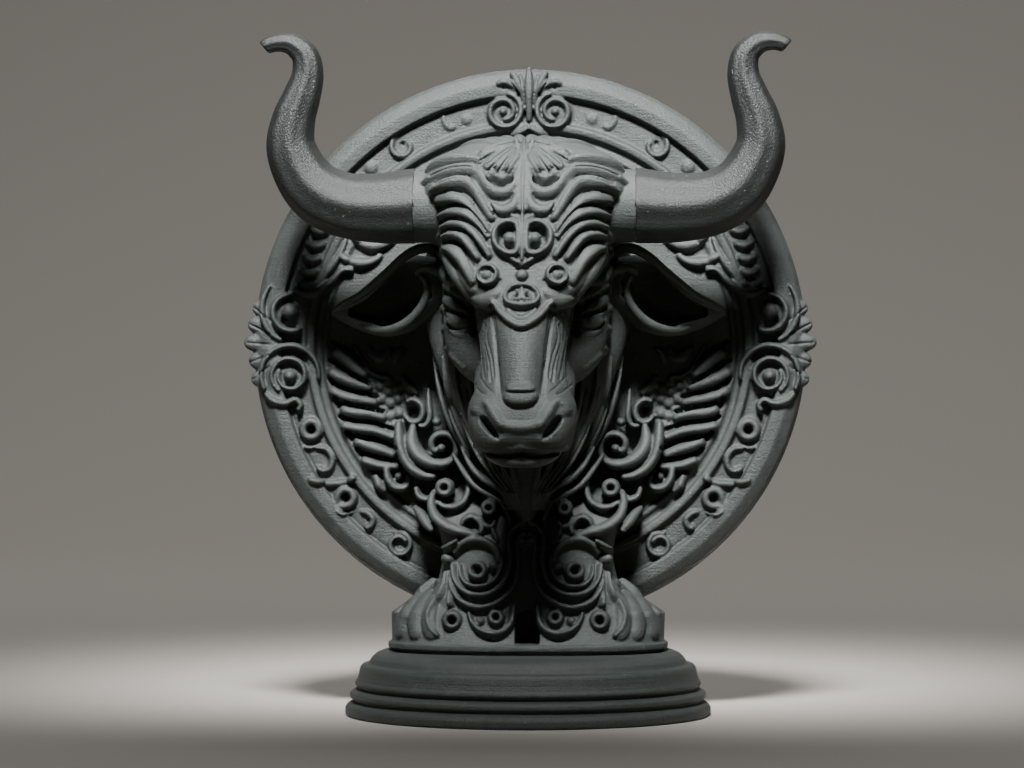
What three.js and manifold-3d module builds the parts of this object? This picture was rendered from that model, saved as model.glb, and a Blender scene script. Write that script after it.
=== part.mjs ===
// Bull's head with long horns on an ornate round disc, on a scroll-covered stem and a stepped base.
// Millimetres, +Z up. The face looks along -Y. The origin is at the centre of the base's underside.

import * as THREE from 'three';
import { mergeVertices } from 'three/addons/utils/BufferGeometryUtils.js';
import Module from 'manifold-3d';

const wasm = await Module();
wasm.setup();

// Driving dimensions. Rows and outlines below are real sizes too.
const BASE_RADIUS = 39.2;
const BASE_TOP = 13.8;
const DISC_RADIUS = 60;
const DISC_HEIGHT = 79.2;
const FIELD_FRONT = 8;
const DISC_BACK = 17.5;
const BAND_RADIUS = 51.3;
const RIM_FRONT = 7;
const HORN_SEAM = 23.7;
const HORN_GAP = 0.3;
const HORN_DEPTH = -15;
const HORN_HEIGHT = 108.3;
const HORN_RADIUS = 7.7;
const RECESS_ASIDE = 0.4;
const EAR_BACK = 5.5;
const EAR_LEAN = 0.3; // how far the ear leans forward for each step up
const EAR_LEVEL = 90;
const SINK = 0.7; // how deep a ridge reaches into the form that carries it
const SIDES = [-1, 1];

const charcoal = { color: 0x2b2d2c, roughness: 0.62, metalness: 0 };

// Solids from geometries

function toManifold(geometry) {
  const bare = geometry.index ? geometry : mergeVertices(geometry);
  bare.deleteAttribute('normal');
  bare.deleteAttribute('uv');
  const merged = mergeVertices(bare, 1e-4);
  const vertices = new Float32Array(merged.attributes.position.array);
  const triangles = new Uint32Array(merged.index.array);
  if (signedVolume(vertices, triangles) < 0) {
    for (let i = 0; i < triangles.length; i += 3) {
      [triangles[i], triangles[i + 1]] = [triangles[i + 1], triangles[i]];
    }
  }
  const kept = [];
  for (let i = 0; i < triangles.length; i += 3) {
    const [a, b, c] = triangles.subarray(i, i + 3);
    if (a !== b && b !== c && c !== a) kept.push(a, b, c);
  }
  const mesh = new wasm.Mesh({ numProp: 3, vertProperties: vertices, triVerts: new Uint32Array(kept) });
  return new wasm.Manifold(mesh);
}

function signedVolume(vertices, triangles) {
  const corner = (i) => new THREE.Vector3().fromArray(vertices, 3 * i);
  let volume = 0;
  for (let i = 0; i < triangles.length; i += 3) {
    const a = corner(triangles[i]);
    volume += a.dot(corner(triangles[i + 1]).cross(corner(triangles[i + 2])));
  }
  return volume;
}

function toMesh(name, solid) {
  const { vertProperties, triVerts } = solid.getMesh();
  const geometry = new THREE.BufferGeometry();
  geometry.setAttribute('position', new THREE.BufferAttribute(vertProperties, 3));
  geometry.setIndex(new THREE.BufferAttribute(triVerts, 1));
  geometry.computeVertexNormals();
  const mesh = new THREE.Mesh(geometry, new THREE.MeshStandardMaterial(charcoal));
  mesh.name = name;
  return mesh;
}

function joined(solids) {
  return solids.reduce((whole, solid) => whole.add(solid));
}

// A closed tube of sections. place(along, angle) gives a point of the wall and middle(along) a section's
// centre.
function loft(sides, steps, place, middle) {
  const geometry = new THREE.CylinderGeometry(1, 1, 1, sides, steps);
  const position = geometry.attributes.position;
  for (let i = 0; i < position.count; i += 1) {
    const along = position.getY(i) + 0.5;
    const onWall = Math.hypot(position.getX(i), position.getZ(i)) > 0.5;
    const angle = Math.atan2(position.getX(i), position.getZ(i));
    const point = onWall ? place(along, angle) : middle(along);
    position.setXYZ(i, point.x, point.y, point.z);
  }
  return toManifold(geometry);
}

// Rows of numbers, blended smoothly or straight at a position counted in rows

function rowAt(rows, position, smooth) {
  const last = rows.length - 1;
  const index = Math.min(Math.floor(position), last - 1);
  const part = position - index;
  const [p0, p1, p2, p3] = [-1, 0, 1, 2].map((step) => rows[THREE.MathUtils.clamp(index + step, 0, last)]);
  return p1.map((value, i) => {
    if (!smooth) return THREE.MathUtils.lerp(value, p2[i], part);
    const leave = (p2[i] - p0[i]) / 2;
    const arrive = (p3[i] - value) / 2;
    const square = part * part;
    const cube = square * part;
    return (2 * cube - 3 * square + 1) * value + (cube - 2 * square + part) * leave
      + (3 * square - 2 * cube) * p2[i] + (cube - square) * arrive;
  });
}

function rowAtHeight(rows, height) {
  let low = 0;
  let high = rows.length - 1;
  for (let step = 0; step < 24; step += 1) {
    const half = (low + high) / 2;
    if (rowAt(rows, half, true)[0] < height) low = half;
    else high = half;
  }
  return rowAt(rows, low, true);
}

// A form built of level sections. Each row is height, half width, front, back and squareness.
function levels(rows, sides, steps, smooth = true) {
  const place = (along, angle) => {
    const [height, half, front, back, square] = rowAt(rows, along * (rows.length - 1), smooth);
    const round = (value) => Math.sign(value) * Math.abs(value) ** (2 / square);
    const across = half * round(Math.sin(angle));
    const depth = (front + back) / 2 + (back - front) / 2 * round(Math.cos(angle));
    return new THREE.Vector3(across, depth, height);
  };
  const middle = (along) => {
    const [height, , front, back] = rowAt(rows, along * (rows.length - 1), smooth);
    return new THREE.Vector3(0, (front + back) / 2, height);
  };
  return loft(sides, steps, place, middle);
}

// The depth of such a form's front at a point seen from the front.
function frontOf(rows) {
  return (x, z) => {
    const [, half, front, back, square] = rowAtHeight(rows, z);
    const inside = Math.max(0, 1 - Math.abs(x / half) ** square) ** (1 / square);
    return (front + back) / 2 - (back - front) / 2 * inside;
  };
}

// Carved ridges that lie on a surface, given by points (x, z) seen from the front

function ridge(points, { width, height, taper = [0.25, 1, 0.25], surface, steps = 3, sink = SINK }) {
  const curve = new THREE.CatmullRomCurve3(points.map(([x, z]) => new THREE.Vector3(x, 0, z)));
  const tapers = taper.map((value) => [value]);
  const pointAt = (along, side, raise) => {
    const size = rowAt(tapers, along * (tapers.length - 1), false)[0];
    const tangent = curve.getTangent(along);
    const point = curve.getPoint(along);
    point.x += tangent.z * side * width / 2 * size;
    point.z -= tangent.x * side * width / 2 * size;
    point.y = surface(point.x, point.z) - (raise > 0 ? height * size * raise : raise * sink);
    return point;
  };
  const place = (along, angle) => pointAt(along, Math.sin(angle), Math.cos(angle) - 0.2);
  return loft(4, steps, place, (along) => pointAt(along, 0, 0.2));
}

// Points along a volute that starts at an angle in degrees and turns inwards
function spiral([x, z], outer, inner, start, turns, count = 9) {
  return Array.from({ length: count }, (_, i) => {
    const part = i / (count - 1);
    const radius = THREE.MathUtils.lerp(outer, inner, part);
    const angle = THREE.MathUtils.degToRad(start + 360 * turns * part);
    return [x + radius * Math.cos(angle), z + radius * Math.sin(angle)];
  });
}

// A raised round eyelet, dished in the middle
function eyelet([x, z], radius, height, surface, count = 5, sink = SINK) {
  const profile = [[0, sink], [radius, sink], [radius * 0.7, -height], [0, -height * 0.2]];
  const geometry = new THREE.LatheGeometry(profile.map(([r, y]) => new THREE.Vector2(r, y)), count);
  geometry.translate(x, surface(x, z), z);
  return toManifold(geometry);
}

function bossOn([x, z], radius, height, surface, sink = SINK) {
  const geometry = new THREE.CylinderGeometry(radius, radius * 0.5, height + sink, 5);
  geometry.rotateX(Math.PI / 2);
  geometry.translate(x, surface(x, z) - (height - sink) / 2, z);
  return toManifold(geometry);
}

const mirrored = (points, side) => points.map(([x, z]) => [x * side, z]);

// Base: a stepped round foot with a slab, a torus, a band and a hollow moulding

function makeBase() {
  const profile = [
    [0, 0], [BASE_RADIUS, 0], [BASE_RADIUS, 1.9], [37.6, 3.2], [38.3, 3.8], [36.4, 5.5], [37.1, 6.8],
    [35.6, 10.8], [32, 13.2], [30, BASE_TOP], [0, BASE_TOP],
  ];
  const geometry = new THREE.LatheGeometry(profile.map(([r, z]) => new THREE.Vector2(r, z)), 24);
  geometry.rotateX(Math.PI / 2);
  return toManifold(geometry);
}

// Disc: an upright medallion with a raised rim, a band and an inner ring ridge

function makeDisc() {
  const profile = [
    [0, FIELD_FRONT], [46.4, FIELD_FRONT], [47.4, 6.4], [48.6, FIELD_FRONT], [53.8, FIELD_FRONT],
    [54.3, 6.4], [56.9, 6.3], [59.2, 7.9], [DISC_RADIUS, 9.6], [DISC_RADIUS, 15], [58.2, DISC_BACK],
    [0, DISC_BACK],
  ];
  const geometry = new THREE.LatheGeometry(profile.map(([r, y]) => new THREE.Vector2(r, y)), 26);
  geometry.translate(0, 0, DISC_HEIGHT);
  return toManifold(geometry);
}

const onField = () => FIELD_FRONT;

// A place on the disc, by its distance from the disc's centre and its angle from the top in degrees
function onDisc(radius, degrees) {
  const angle = THREE.MathUtils.degToRad(degrees);
  return [radius * Math.sin(angle), DISC_HEIGHT + radius * Math.cos(angle)];
}

function makeRimOrnament(side) {
  const leaf = { width: 2, height: 1.2, taper: [0.3, 1, 0.3], surface: onField, steps: 2 };
  const at = (radius, degrees) => onDisc(radius, degrees * side);

  // Crown: a volute with two leaves of the fan above it
  const parts = [eyelet(at(50.8, 5.6), 3.9, 1.8, onField, 6)];
  for (const tip of [5, 12]) {
    parts.push(ridge([at(55.4, 2), at(59.2 - tip * 0.14, tip)],
      { ...leaf, taper: [1, 0.4], surface: () => RIM_FRONT, steps: 1 }));
  }

  // Band: a hook, scrolls, rings and crescents, from the crown down
  parts.push(ridge([at(52.6, 17), at(51.6, 20), at(49.6, 19.5)], leaf));
  const rings = [[33, 2.9], [82.4, 4.2], [97.8, 5.2], [111.5, 2.4], [129.8, 2.6], [146.5, 2.6]];
  for (const [degrees, radius] of rings) {
    parts.push(eyelet(at(BAND_RADIUS, degrees), radius, 1.3, onField));
  }
  for (const degrees of [64, 68.7, 73.3, 119]) {
    parts.push(ridge([at(49.2, degrees + 1), at(53.2, degrees - 1)],
      { ...leaf, taper: [0.9, 0.3], steps: 1 }));
  }

  // Side palmette: broad leaves whose tips stand out past the rim
  for (const [root, tip, reach] of [[86, 82.5, 61.2], [90, 90.5, 62.4], [94, 98.5, 61.2]]) {
    parts.push(ridge([at(54.5, root), at(58.4, (root + tip) / 2), at(reach, tip)],
      { ...leaf, width: 6, height: 2.6, taper: [0.7, 1, 0.3], surface: () => 8.6 }));
  }
  return joined(parts);
}

function makeWing(side) {
  const feather = { width: 2.6, height: 1.6, taper: [0.45, 1, 0.5], surface: onField, steps: 2 };
  const leaf = { width: 2.2, height: 1.5, surface: onField, steps: 2 };
  const carve = (points, shape) => ridge(mirrored(points, side), shape);
  const parts = [];

  // Seven feathers, each from its tip to its root
  const feathers = [
    [[42.6, 78], [35.4, 73.4]], [[44.2, 73.8], [33.9, 69.6]], [[43.8, 69.4], [32.6, 66.4]],
    [[41.6, 65.2], [30.6, 63.4]], [[40.6, 61.4], [29.2, 60]], [[37.8, 57.9], [28.9, 56.4]],
    [[36, 54], [29.6, 52.6]],
  ];
  for (const [tip, root] of feathers) {
    const bend = [(tip[0] + root[0]) / 2 + 0.4, (tip[1] + root[1]) / 2 - 0.7];
    parts.push(carve([tip, bend, root], feather));
  }

  // Crescents above and below the ear, and the curling acanthus beside the neck
  parts.push(carve([[38.6, 103.2], [34.6, 101.2], [30.6, 102.6]], leaf));
  parts.push(carve([[40.6, 99.2], [36.6, 97], [33, 98.4]], leaf));
  parts.push(carve([[34.8, 79.4], [31.6, 76.8], [29.4, 78.2]], leaf));
  parts.push(carve([[30.6, 74.8], [27.6, 74.2], [26.6, 77.2]], leaf));
  parts.push(eyelet([25.6 * side, 65.6], 2.5, 1.4, onField));
  parts.push(carve([[27.8, 63], [26.6, 56.4], [20.2, 51.2]], { ...leaf, height: 2.2, steps: 3 }));
  parts.push(carve(spiral([19.4, 57.2], 4.8, 1.2, 5, -1.2, 8),
    { ...leaf, width: 1.9, height: 2.4, taper: [0.3, 1, 1, 0.7], steps: 5 }));
  return joined(parts);
}

// Foot, stem and neck: rows of height, half width, front, back and squareness

const FOOT = [
  [13, 29, -16, 16.5, 2.3], [14.3, 29, -16, 16.5, 2.3], [14.4, 30, -17, 17.5, 2.3],
  [15.6, 30, -17, 17.5, 2.3], [15.8, 29.2, -16.2, 16.5, 2.3], [21.8, 29.4, -13.4, 16.5, 2.3],
  [24.6, 25, -10.6, 15, 2.3], [28, 18, -6, 14, 2.3],
];
const STEM = [
  [15, 25, -14.8, 12, 2.6], [26, 20.2, -12.4, 12, 2.6], [37, 18.7, -9.4, 12, 2.6],
  [42, 20, -6.6, 12, 2.6], [46, 17.6, -2.6, 12, 2.6], [52, 12.8, 1.4, 12, 2.6], [62, 9, 5.4, 12, 2.6],
];
const NECK = [
  [41.5, 2.5, -9.6, 9.5, 2], [46, 5.2, -11.5, 9.5, 2], [52, 8.4, -13, 9.5, 2], [60, 12.4, -14, 9.5, 2],
  [70, 17.6, -13, 9.5, 2], [82, 21.6, -11, 9.5, 2], [95, 22.4, -10, 9.5, 2], [106, 19.5, -10, 9.5, 2],
  [113, 14, -8, 9.5, 2], [117, 5, -2, 9.5, 2],
];

const onStem = frontOf(STEM);

// Scrolls on the shoulders of the stem stand free in front of it, on a slope that leans back upwards and
// outwards
const SHOULDER_SINK = 11.5;
const onShoulder = (x, z) => -9 + 0.36 * (Math.abs(x) - 10) + 0.3 * (z - 38.5);

function makeStemOrnament(side) {
  const stroke = { width: 1.7, height: 1.5, taper: [0.5, 1, 1, 0.6], surface: onStem };
  const carve = (points, shape) => ridge(mirrored(points, side), { ...stroke, ...shape });
  const at = (x, z) => [x * side, z];
  const free = { surface: onShoulder, sink: SHOULDER_SINK };
  const parts = [
    // The two great C-scrolls with their bosses, and the smaller ones below
    eyelet(at(9.6, 31.2), 5.8, 2, onStem, 6),
    bossOn(at(9.6, 31.2), 2.2, 2, onStem),
    carve([[3.4, 39], [2.4, 32], [4.4, 26.2], [9.8, 23.8], [15, 26.2], [16.8, 30.4]], { steps: 4 }),
    eyelet(at(5.9, 21.6), 4.6, 1.6, onStem, 6),
    // Knob and drop at the side, and the leaves under them on the foot's corner
    bossOn(at(16.2, 32.8), 2.2, 2.4, onStem),
    carve([[15.8, 31.6], [15.6, 23.8]], { steps: 1 }),
    eyelet(at(15.6, 21.2), 2.6, 1.4, onStem),
    // Rolled leaf, crescent and ring scroll at the top of the stem
    carve([[20.3, 46.4], [18.4, 41.2], [14.8, 39.4], [10.6, 38.8]],
      { ...free, width: 2.6, height: 2.2, steps: 3, sink: 6 }),
    eyelet(at(11.8, 40.8), 1.8, 1.6, onShoulder),
    carve([[24.2, 48.8], [22.2, 46], [20.2, 48]], { ...free, steps: 2 }),
    eyelet(at(17.8, 48.6), 2, 1.4, onShoulder, 5, SHOULDER_SINK),
    carve([[13, 51.6], [13.4, 46], [17.8, 44.6], [19.8, 46.2]], { ...free, steps: 3 }),
  ];
  return joined(parts);
}

function makeFootLeaves(side) {
  const onFoot = frontOf(FOOT.slice(4, 7));
  return joined([[21, 17.6], [25.6, 23]].map(([x, from]) => ridge(
    mirrored([[from, 24.2], [x - 1.4, 20.2], [x, 16.4]], side),
    { width: 3.6, height: 1.6, taper: [0.4, 1, 0.8], surface: onFoot, steps: 2 },
  )));
}

// The arch and the little recess below it, on the middle line
function makeArch() {
  const arch = ridge([[-3.4, 37.6], [-2.9, 40], [0, 41.2], [2.9, 40], [3.4, 37.6]],
    { width: 1.4, height: 1.5, taper: [1, 1], surface: onStem, steps: 3 });
  return arch.add(bossOn([0, 38.2], 1.4, 1.4, onStem));
}

function makeRecess() {
  const radius = 2.6;
  const length = 11;
  const middle = -12.9;
  const [floor, spring] = [15.9, 20.4];
  const doorway = new THREE.CylinderGeometry(radius, radius, length, 10);
  doorway.rotateX(Math.PI / 2);
  doorway.translate(RECESS_ASIDE, middle, spring);
  const below = new THREE.BoxGeometry(2 * radius, length, spring - floor);
  below.translate(RECESS_ASIDE, middle, (spring + floor) / 2);
  return toManifold(doorway).add(toManifold(below));
}

// Head: skull, forehead, snout and jaw

const SKULL = [
  [68.5, 6, -20, -6, 2], [72, 12.4, -22, -4, 2.2], [77, 16.4, -23, 0, 2.4], [84, 17.6, -23.4, 4, 2.5],
  [92, 17.6, -23.6, 6, 2.5], [100, 17.6, -24, 6, 2.4], [105, 16, -22, 6, 2.2],
];
const FOREHEAD = [
  [84.4, 4.6, -35.4, -28, 2], [87, 8.6, -35.6, -24, 2], [90.5, 12.6, -34.8, -19, 2.1],
  [94.5, 15.8, -33.8, -13, 2.3], [100, 17.5, -32.6, -6, 2.6], [108.8, 19.6, -30.5, 0, 2.8],
  [113, 22.2, -28.6, 2, 2.7], [118, 19.4, -24.4, 0, 2.5], [121.2, 12.4, -21, -4, 2.3],
  [122.5, 3.6, -17.6, -8, 2],
];
const SNOUT = [
  [57, 8.8, -39.8, -24, 2.8], [58.4, 10.1, -42.2, -23, 2.8], [63, 11.1, -43.2, -22, 2.6],
  [66.4, 11.1, -42.6, -20, 2.4], [69.6, 9.9, -40.9, -18, 2.2], [73, 8.9, -39.2, -16, 2.1],
  [80, 9.2, -36.7, -14, 2], [92, 11, -32, -12, 2],
];
const JAW = [
  [53.7, 3.4, -38, -30, 2.6], [55.6, 7.2, -39.9, -22, 2.6], [60, 9, -37.6, -16, 2.4],
  [66, 10, -34, -11, 2.2], [72, 11, -30, -8, 2.2],
];

const onForehead = frontOf(FOREHEAD);
const onSnout = frontOf(SNOUT);
const onSkull = frontOf(SKULL);

// The round stub on the head that a horn is plugged on
function makeHornStub(side) {
  const centre = (along) => new THREE.Vector3(
    side * THREE.MathUtils.lerp(14, HORN_SEAM - HORN_GAP, along), HORN_DEPTH, HORN_HEIGHT);
  return loft(10, 1, (along, angle) => {
    const point = centre(along);
    point.y += HORN_RADIUS * Math.sin(angle);
    point.z += HORN_RADIUS * Math.cos(angle);
    return point;
  }, centre);
}

function makeHeadForm() {
  const strip = levels([
    [67, 3, -43.3, -37, 2.2], [72, 4.4, -42.1, -35.4, 2.1], [81, 5.2, -39.4, -32.6, 2.1],
    [89, 6.5, -35.8, -30, 2.4],
  ], 6, 3);
  const button = levels([
    [66.4, 2, -43.6, -38, 3], [67.4, 3.2, -44.5, -38, 3], [69, 3.3, -44.4, -38, 3],
    [70.6, 2.8, -42.8, -38, 3],
  ], 6, 2);
  const parts = [levels(SKULL, 8, 4), levels(FOREHEAD, 12, 9), levels(SNOUT, 10, 7), levels(JAW, 8, 4)];
  return joined([...parts, strip, button, ...SIDES.map(makeHornStub)]);
}

function makeNostril(side) {
  const slit = new THREE.SphereGeometry(1, 8, 6);
  slit.scale(0.95, 3.6, 3.2);
  slit.rotateY(THREE.MathUtils.degToRad(40 * side));
  slit.translate(6.5 * side, -42.6, 62);
  return toManifold(slit);
}

function makeNostrilRim(side) {
  return ridge(mirrored([[3.4, 62.6], [5.2, 64.4], [7.2, 66.6], [9, 66.4]], side),
    { width: 2.4, height: 0.9, taper: [0.5, 1, 0.7], surface: onSnout, steps: 3 });
}

function makeHeadOrnament(side) {
  const lock = { width: 2, height: 1.2, taper: [0.6, 1, 0.4], surface: onForehead, steps: 3 };
  const carve = (points, shape) => ridge(mirrored(points, side), { ...lock, ...shape });
  const at = (x, z) => [x * side, z];
  const parts = [];

  // Waved locks that sweep from the temple to the middle of the forehead
  const waves = [
    [[20.6, 112.6], [14.6, 115], [8.6, 113.6], [3.6, 110.4]],
    [[18.4, 111.4], [13, 112.6], [9, 109.6], [6, 104.8]],
    [[17.4, 107.6], [12.4, 107.6], [9, 104.4], [6.8, 100.8]],
    [[16.8, 103.4], [12, 103.4], [9, 100.4], [6.6, 96.8]], [[16.4, 99.2], [12.7, 97], [10.4, 92.6]],
  ];
  for (const points of waves) parts.push(carve(points, {}));
  // Forelock: curved hanks beside the parting
  parts.push(carve([[0.9, 121.6], [4.6, 118.4], [6.4, 114], [4.4, 112.4]], { width: 2.4, steps: 2 }));
  parts.push(carve([[0.7, 120], [1.4, 112], [3.4, 106.8], [6.4, 107.8]], { width: 2.2, steps: 2 }));
  // Heart of two open rings, with a boss in each
  parts.push(carve([[0.9, 103.8], [3.6, 104], [5.5, 101], [4.4, 98.2], [0.9, 96.6]],
    { width: 1.7, height: 1.8, steps: 4 }));
  parts.push(bossOn(at(2.6, 100.7), 1.3, 1.6, onForehead, 2));
  // Side ring with its boss, and the overhanging brow
  parts.push(eyelet(at(6.9, 93.5), 2.6, 1.3, onForehead));
  parts.push(carve([[16.4, 97], [13.2, 91.8], [8.8, 88], [4.6, 89.2]], { width: 2.6, height: 1.2 }));
  // Layered lobes beside the eye
  for (const [z, half] of [[89.6, 3], [84.6, 3.2]]) {
    parts.push(carve([[11.4, z - 2], [14, z - 0.8], [16.6, z + 0.8]],
      { width: half, height: 1, surface: onSkull, steps: 1 }));
  }
  return joined(parts);
}

// Ornament on the middle line: the spine of the heart, a button, the lower ring and its pointed bib
function makeHeadMiddle() {
  const spine = ridge([[0, 121], [0, 108], [0, 95.6]],
    { width: 1.6, height: 1.4, taper: [0.4, 1, 0.8], surface: onForehead, steps: 3 });
  const bib = ridge([[-5.4, 87.2], [-2.6, 84.4], [0, 82.6], [2.6, 84.4], [5.4, 87.2]],
    { width: 1.5, height: 3, taper: [0.7, 1, 0.7], surface: onSnout, steps: 4 });
  const ring = eyelet([0, 88.6], 3.6, 1.5, onForehead, 8);
  return joined([spine, bib, bossOn([0, 93], 1.4, 1.6, onForehead), ring]);
}

// Ear: a hollow leaf on a short root. Rows are reach, height, half height, depth and half thickness
function makeEar(side) {
  const outside = [
    [13, 92, 4.6, -8, 4.4], [19.5, 91.6, 6.6, -9.6, 5.4], [25, 90.2, 8.8, -9.6, 6],
    [31, 87.6, 7, -7.8, 5], [37, 86.2, 3.9, -6, 3.2], [42.6, 86.2, 0.9, -5, 1],
  ];
  const inside = [
    [20, 91.2, 1.6, -13.6, 4.4], [22.6, 91, 5, -15.4, 8.6], [26.4, 89.8, 6.6, -15, 9.6],
    [30.4, 87.7, 4.9, -13.6, 8], [34, 86.7, 2.7, -11.6, 5.4], [38.4, 86.2, 0.8, -9, 2],
  ];
  const leaf = (rows, sides, steps) => {
    const leant = (along, angle, spread) => {
      const [reach, height, tall, depth, thick] = rowAt(rows, along * (rows.length - 1), true);
      const up = height + spread * tall * Math.cos(angle);
      const back = depth + spread * thick * Math.sin(angle) + EAR_BACK - EAR_LEAN * (up - EAR_LEVEL);
      return new THREE.Vector3(reach * side, back, up);
    };
    return loft(sides, steps, (along, angle) => leant(along, angle, 1), (along) => leant(along, 0, 0));
  };
  return leaf(outside, 8, 5).subtract(leaf(inside, 6, 4));
}

// Horn: rows are reach, height, depth and radius from the seam to the hooked tip
function makeHorn(side) {
  const rows = [
    [HORN_SEAM, HORN_HEIGHT, HORN_DEPTH, HORN_RADIUS],
    [31, 107.9, -15.2, 7.2], [38.2, 108.6, -15.6, 6.7], [43.8, 111.2, -16, 6.3],
    [47.4, 115.6, -16.3, 5.7], [49.4, 121, -16.6, 5.1], [48.8, 126.4, -16.9, 4.5],
    [47.1, 131.2, -17.2, 3.9], [45.8, 135.8, -17.4, 3.3], [46.3, 139.8, -17.6, 2.85],
    [48.9, 142.2, -17.8, 2.3], [51.9, 142.8, -18, 1.85], [54.2, 142.3, -18, 1.55],
    [55.1, 142, -18, 1.1],
  ];
  const turn = (along) => rowAt(rows, along * (rows.length - 1), true);
  const centre = (along) => {
    const [reach, height, depth] = turn(along);
    return new THREE.Vector3(reach * side, depth, height);
  };
  return loft(7, rows.length - 1, (along, angle) => {
    const ahead = turn(Math.min(1, along + 0.02));
    const behind = turn(Math.max(0, along - 0.02));
    const heading = along === 0 ? 0 : Math.atan2(ahead[1] - behind[1], ahead[0] - behind[0]);
    const radius = turn(along)[3];
    const point = centre(along);
    point.x -= side * Math.sin(heading) * Math.cos(angle) * radius;
    point.z += Math.cos(heading) * Math.cos(angle) * radius;
    point.y += Math.sin(angle) * radius;
    return point;
  }, centre);
}

function makeBody() {
  const forms = [makeBase(), makeDisc(), levels(FOOT, 16, FOOT.length - 1, false), levels(STEM, 10, 6),
    levels(NECK, 8, 4), makeHeadForm(), makeArch(), makeHeadMiddle()];
  const carving = SIDES.flatMap((side) => [makeRimOrnament(side), makeWing(side), makeStemOrnament(side),
    makeFootLeaves(side), makeHeadOrnament(side), makeNostrilRim(side), makeEar(side)]);
  const cuts = joined([makeRecess(), ...SIDES.map(makeNostril)]);
  return joined([...forms, ...carving]).subtract(cuts);
}

const figurine = new THREE.Group();
figurine.add(toMesh('body', makeBody()));
figurine.add(toMesh('left_horn', makeHorn(-1)));
figurine.add(toMesh('right_horn', makeHorn(1)));

export default figurine;
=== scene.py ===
"""Bull figurine: a printed bull's head with long horns before an ornate disc, on a stem and round base.

The printed body is fused from smooth forms and ridges, grooved, and thinned. Lengths are
millimetres, +Z up and the face towards -Y, and each finished mesh is turned into metres.
"""

import math

import bpy
import numpy as np
from mathutils import Matrix, Vector
from mathutils.bvhtree import BVHTree


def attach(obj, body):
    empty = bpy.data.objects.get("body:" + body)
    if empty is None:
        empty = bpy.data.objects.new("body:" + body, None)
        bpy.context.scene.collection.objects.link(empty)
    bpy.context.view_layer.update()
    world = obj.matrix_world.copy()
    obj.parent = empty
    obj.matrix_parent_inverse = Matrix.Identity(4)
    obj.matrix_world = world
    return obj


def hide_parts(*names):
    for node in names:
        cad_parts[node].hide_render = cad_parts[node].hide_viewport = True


bl_info = {
    "name": "Bull Figurine",
    "version": (1, 0, 0),
    "blender": (4, 5, 0),
    "location": "View3D > Sidebar > Bull",
    "description": "Builds a bull's head on a disc, its long horns, their finish and a small studio",
    "category": "Add Mesh",
}

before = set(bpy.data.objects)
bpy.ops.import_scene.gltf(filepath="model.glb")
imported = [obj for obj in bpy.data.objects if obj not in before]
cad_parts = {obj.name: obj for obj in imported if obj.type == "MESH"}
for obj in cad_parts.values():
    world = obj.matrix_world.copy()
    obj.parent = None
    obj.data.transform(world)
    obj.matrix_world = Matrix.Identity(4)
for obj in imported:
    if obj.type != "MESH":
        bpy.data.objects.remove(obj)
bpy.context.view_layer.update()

# Sizes of the figurine
MM = 0.001
DISC_RADIUS = 60.0
DISC_HEIGHT = 79.2
FIELD_FRONT = 8.0
DISC_BACK = 17.5
HORN_SEAM = 23.7
HORN_GAP = 0.3
HORN_DEPTH = -15.0
HORN_HEIGHT = 108.3
HORN_RADIUS = 7.7
FACETS = 8
SIDES = (-1, 1)

# How ridges, grooves and swells are drawn, and how the fused body is eased
FAR = 300
LINE_STEP = 0.36
RIDGE_SIDES, ROD_SIDES = 14, 16
GROOVE_STEP, SWELL_STEP = 0.8, 0.3
FADE = 5
SHARP, SOFT = 8, 3
PULL, PUSH, EASING_PASSES = 0.5, -0.52, 3


# Curves and rows of numbers


def read_rows(rows, positions, smooth=True):
    """Rows of numbers at positions counted in rows, blended smoothly or straight."""
    rows = np.asarray(rows, float)
    positions = np.asarray(positions, float)
    last = len(rows) - 1
    index = np.clip(np.floor(positions).astype(int), 0, last - 1)
    part = (positions - index)[:, None]
    before, here, there, after = (rows[np.clip(index + step, 0, last)] for step in (-1, 0, 1, 2))
    if not smooth:
        return here + (there - here) * part
    leave = (there - before) / 2
    arrive = (after - here) / 2
    square, cube = part**2, part**3
    start = (2 * cube - 3 * square + 1) * here + (cube - 2 * square + part) * leave
    return start + (3 * square - 2 * cube) * there + (cube - square) * arrive


def smooth_line(points, step=0.45):
    """A smooth line through the points, as points that lie about one step apart."""
    fine = read_rows(points, np.linspace(0, len(points) - 1, 14 * (len(points) - 1) + 1))
    along = np.concatenate([[0], np.cumsum(np.linalg.norm(np.diff(fine, axis=0), axis=1))])
    count = max(4, int(along[-1] / step) + 1)
    even = np.linspace(0, along[-1], count)
    return np.stack([np.interp(even, along, fine[:, axis]) for axis in range(fine.shape[1])], axis=1)


def spiral(centre, outer, inner, start, turns):
    """Points along a volute that starts at an angle in degrees and turns inwards."""
    count = max(6, int(abs(turns) * 12))
    part = np.linspace(0, 1, count)
    radius = outer + (inner - outer) * part
    angle = np.radians(start + 360 * turns * part)
    return np.stack([centre[0] + radius * np.cos(angle), centre[1] + radius * np.sin(angle)], axis=1)


def unit(vectors):
    return vectors / np.maximum(np.linalg.norm(vectors, axis=1, keepdims=True), 1e-9)


# Closed solids as vertices and faces


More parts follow.
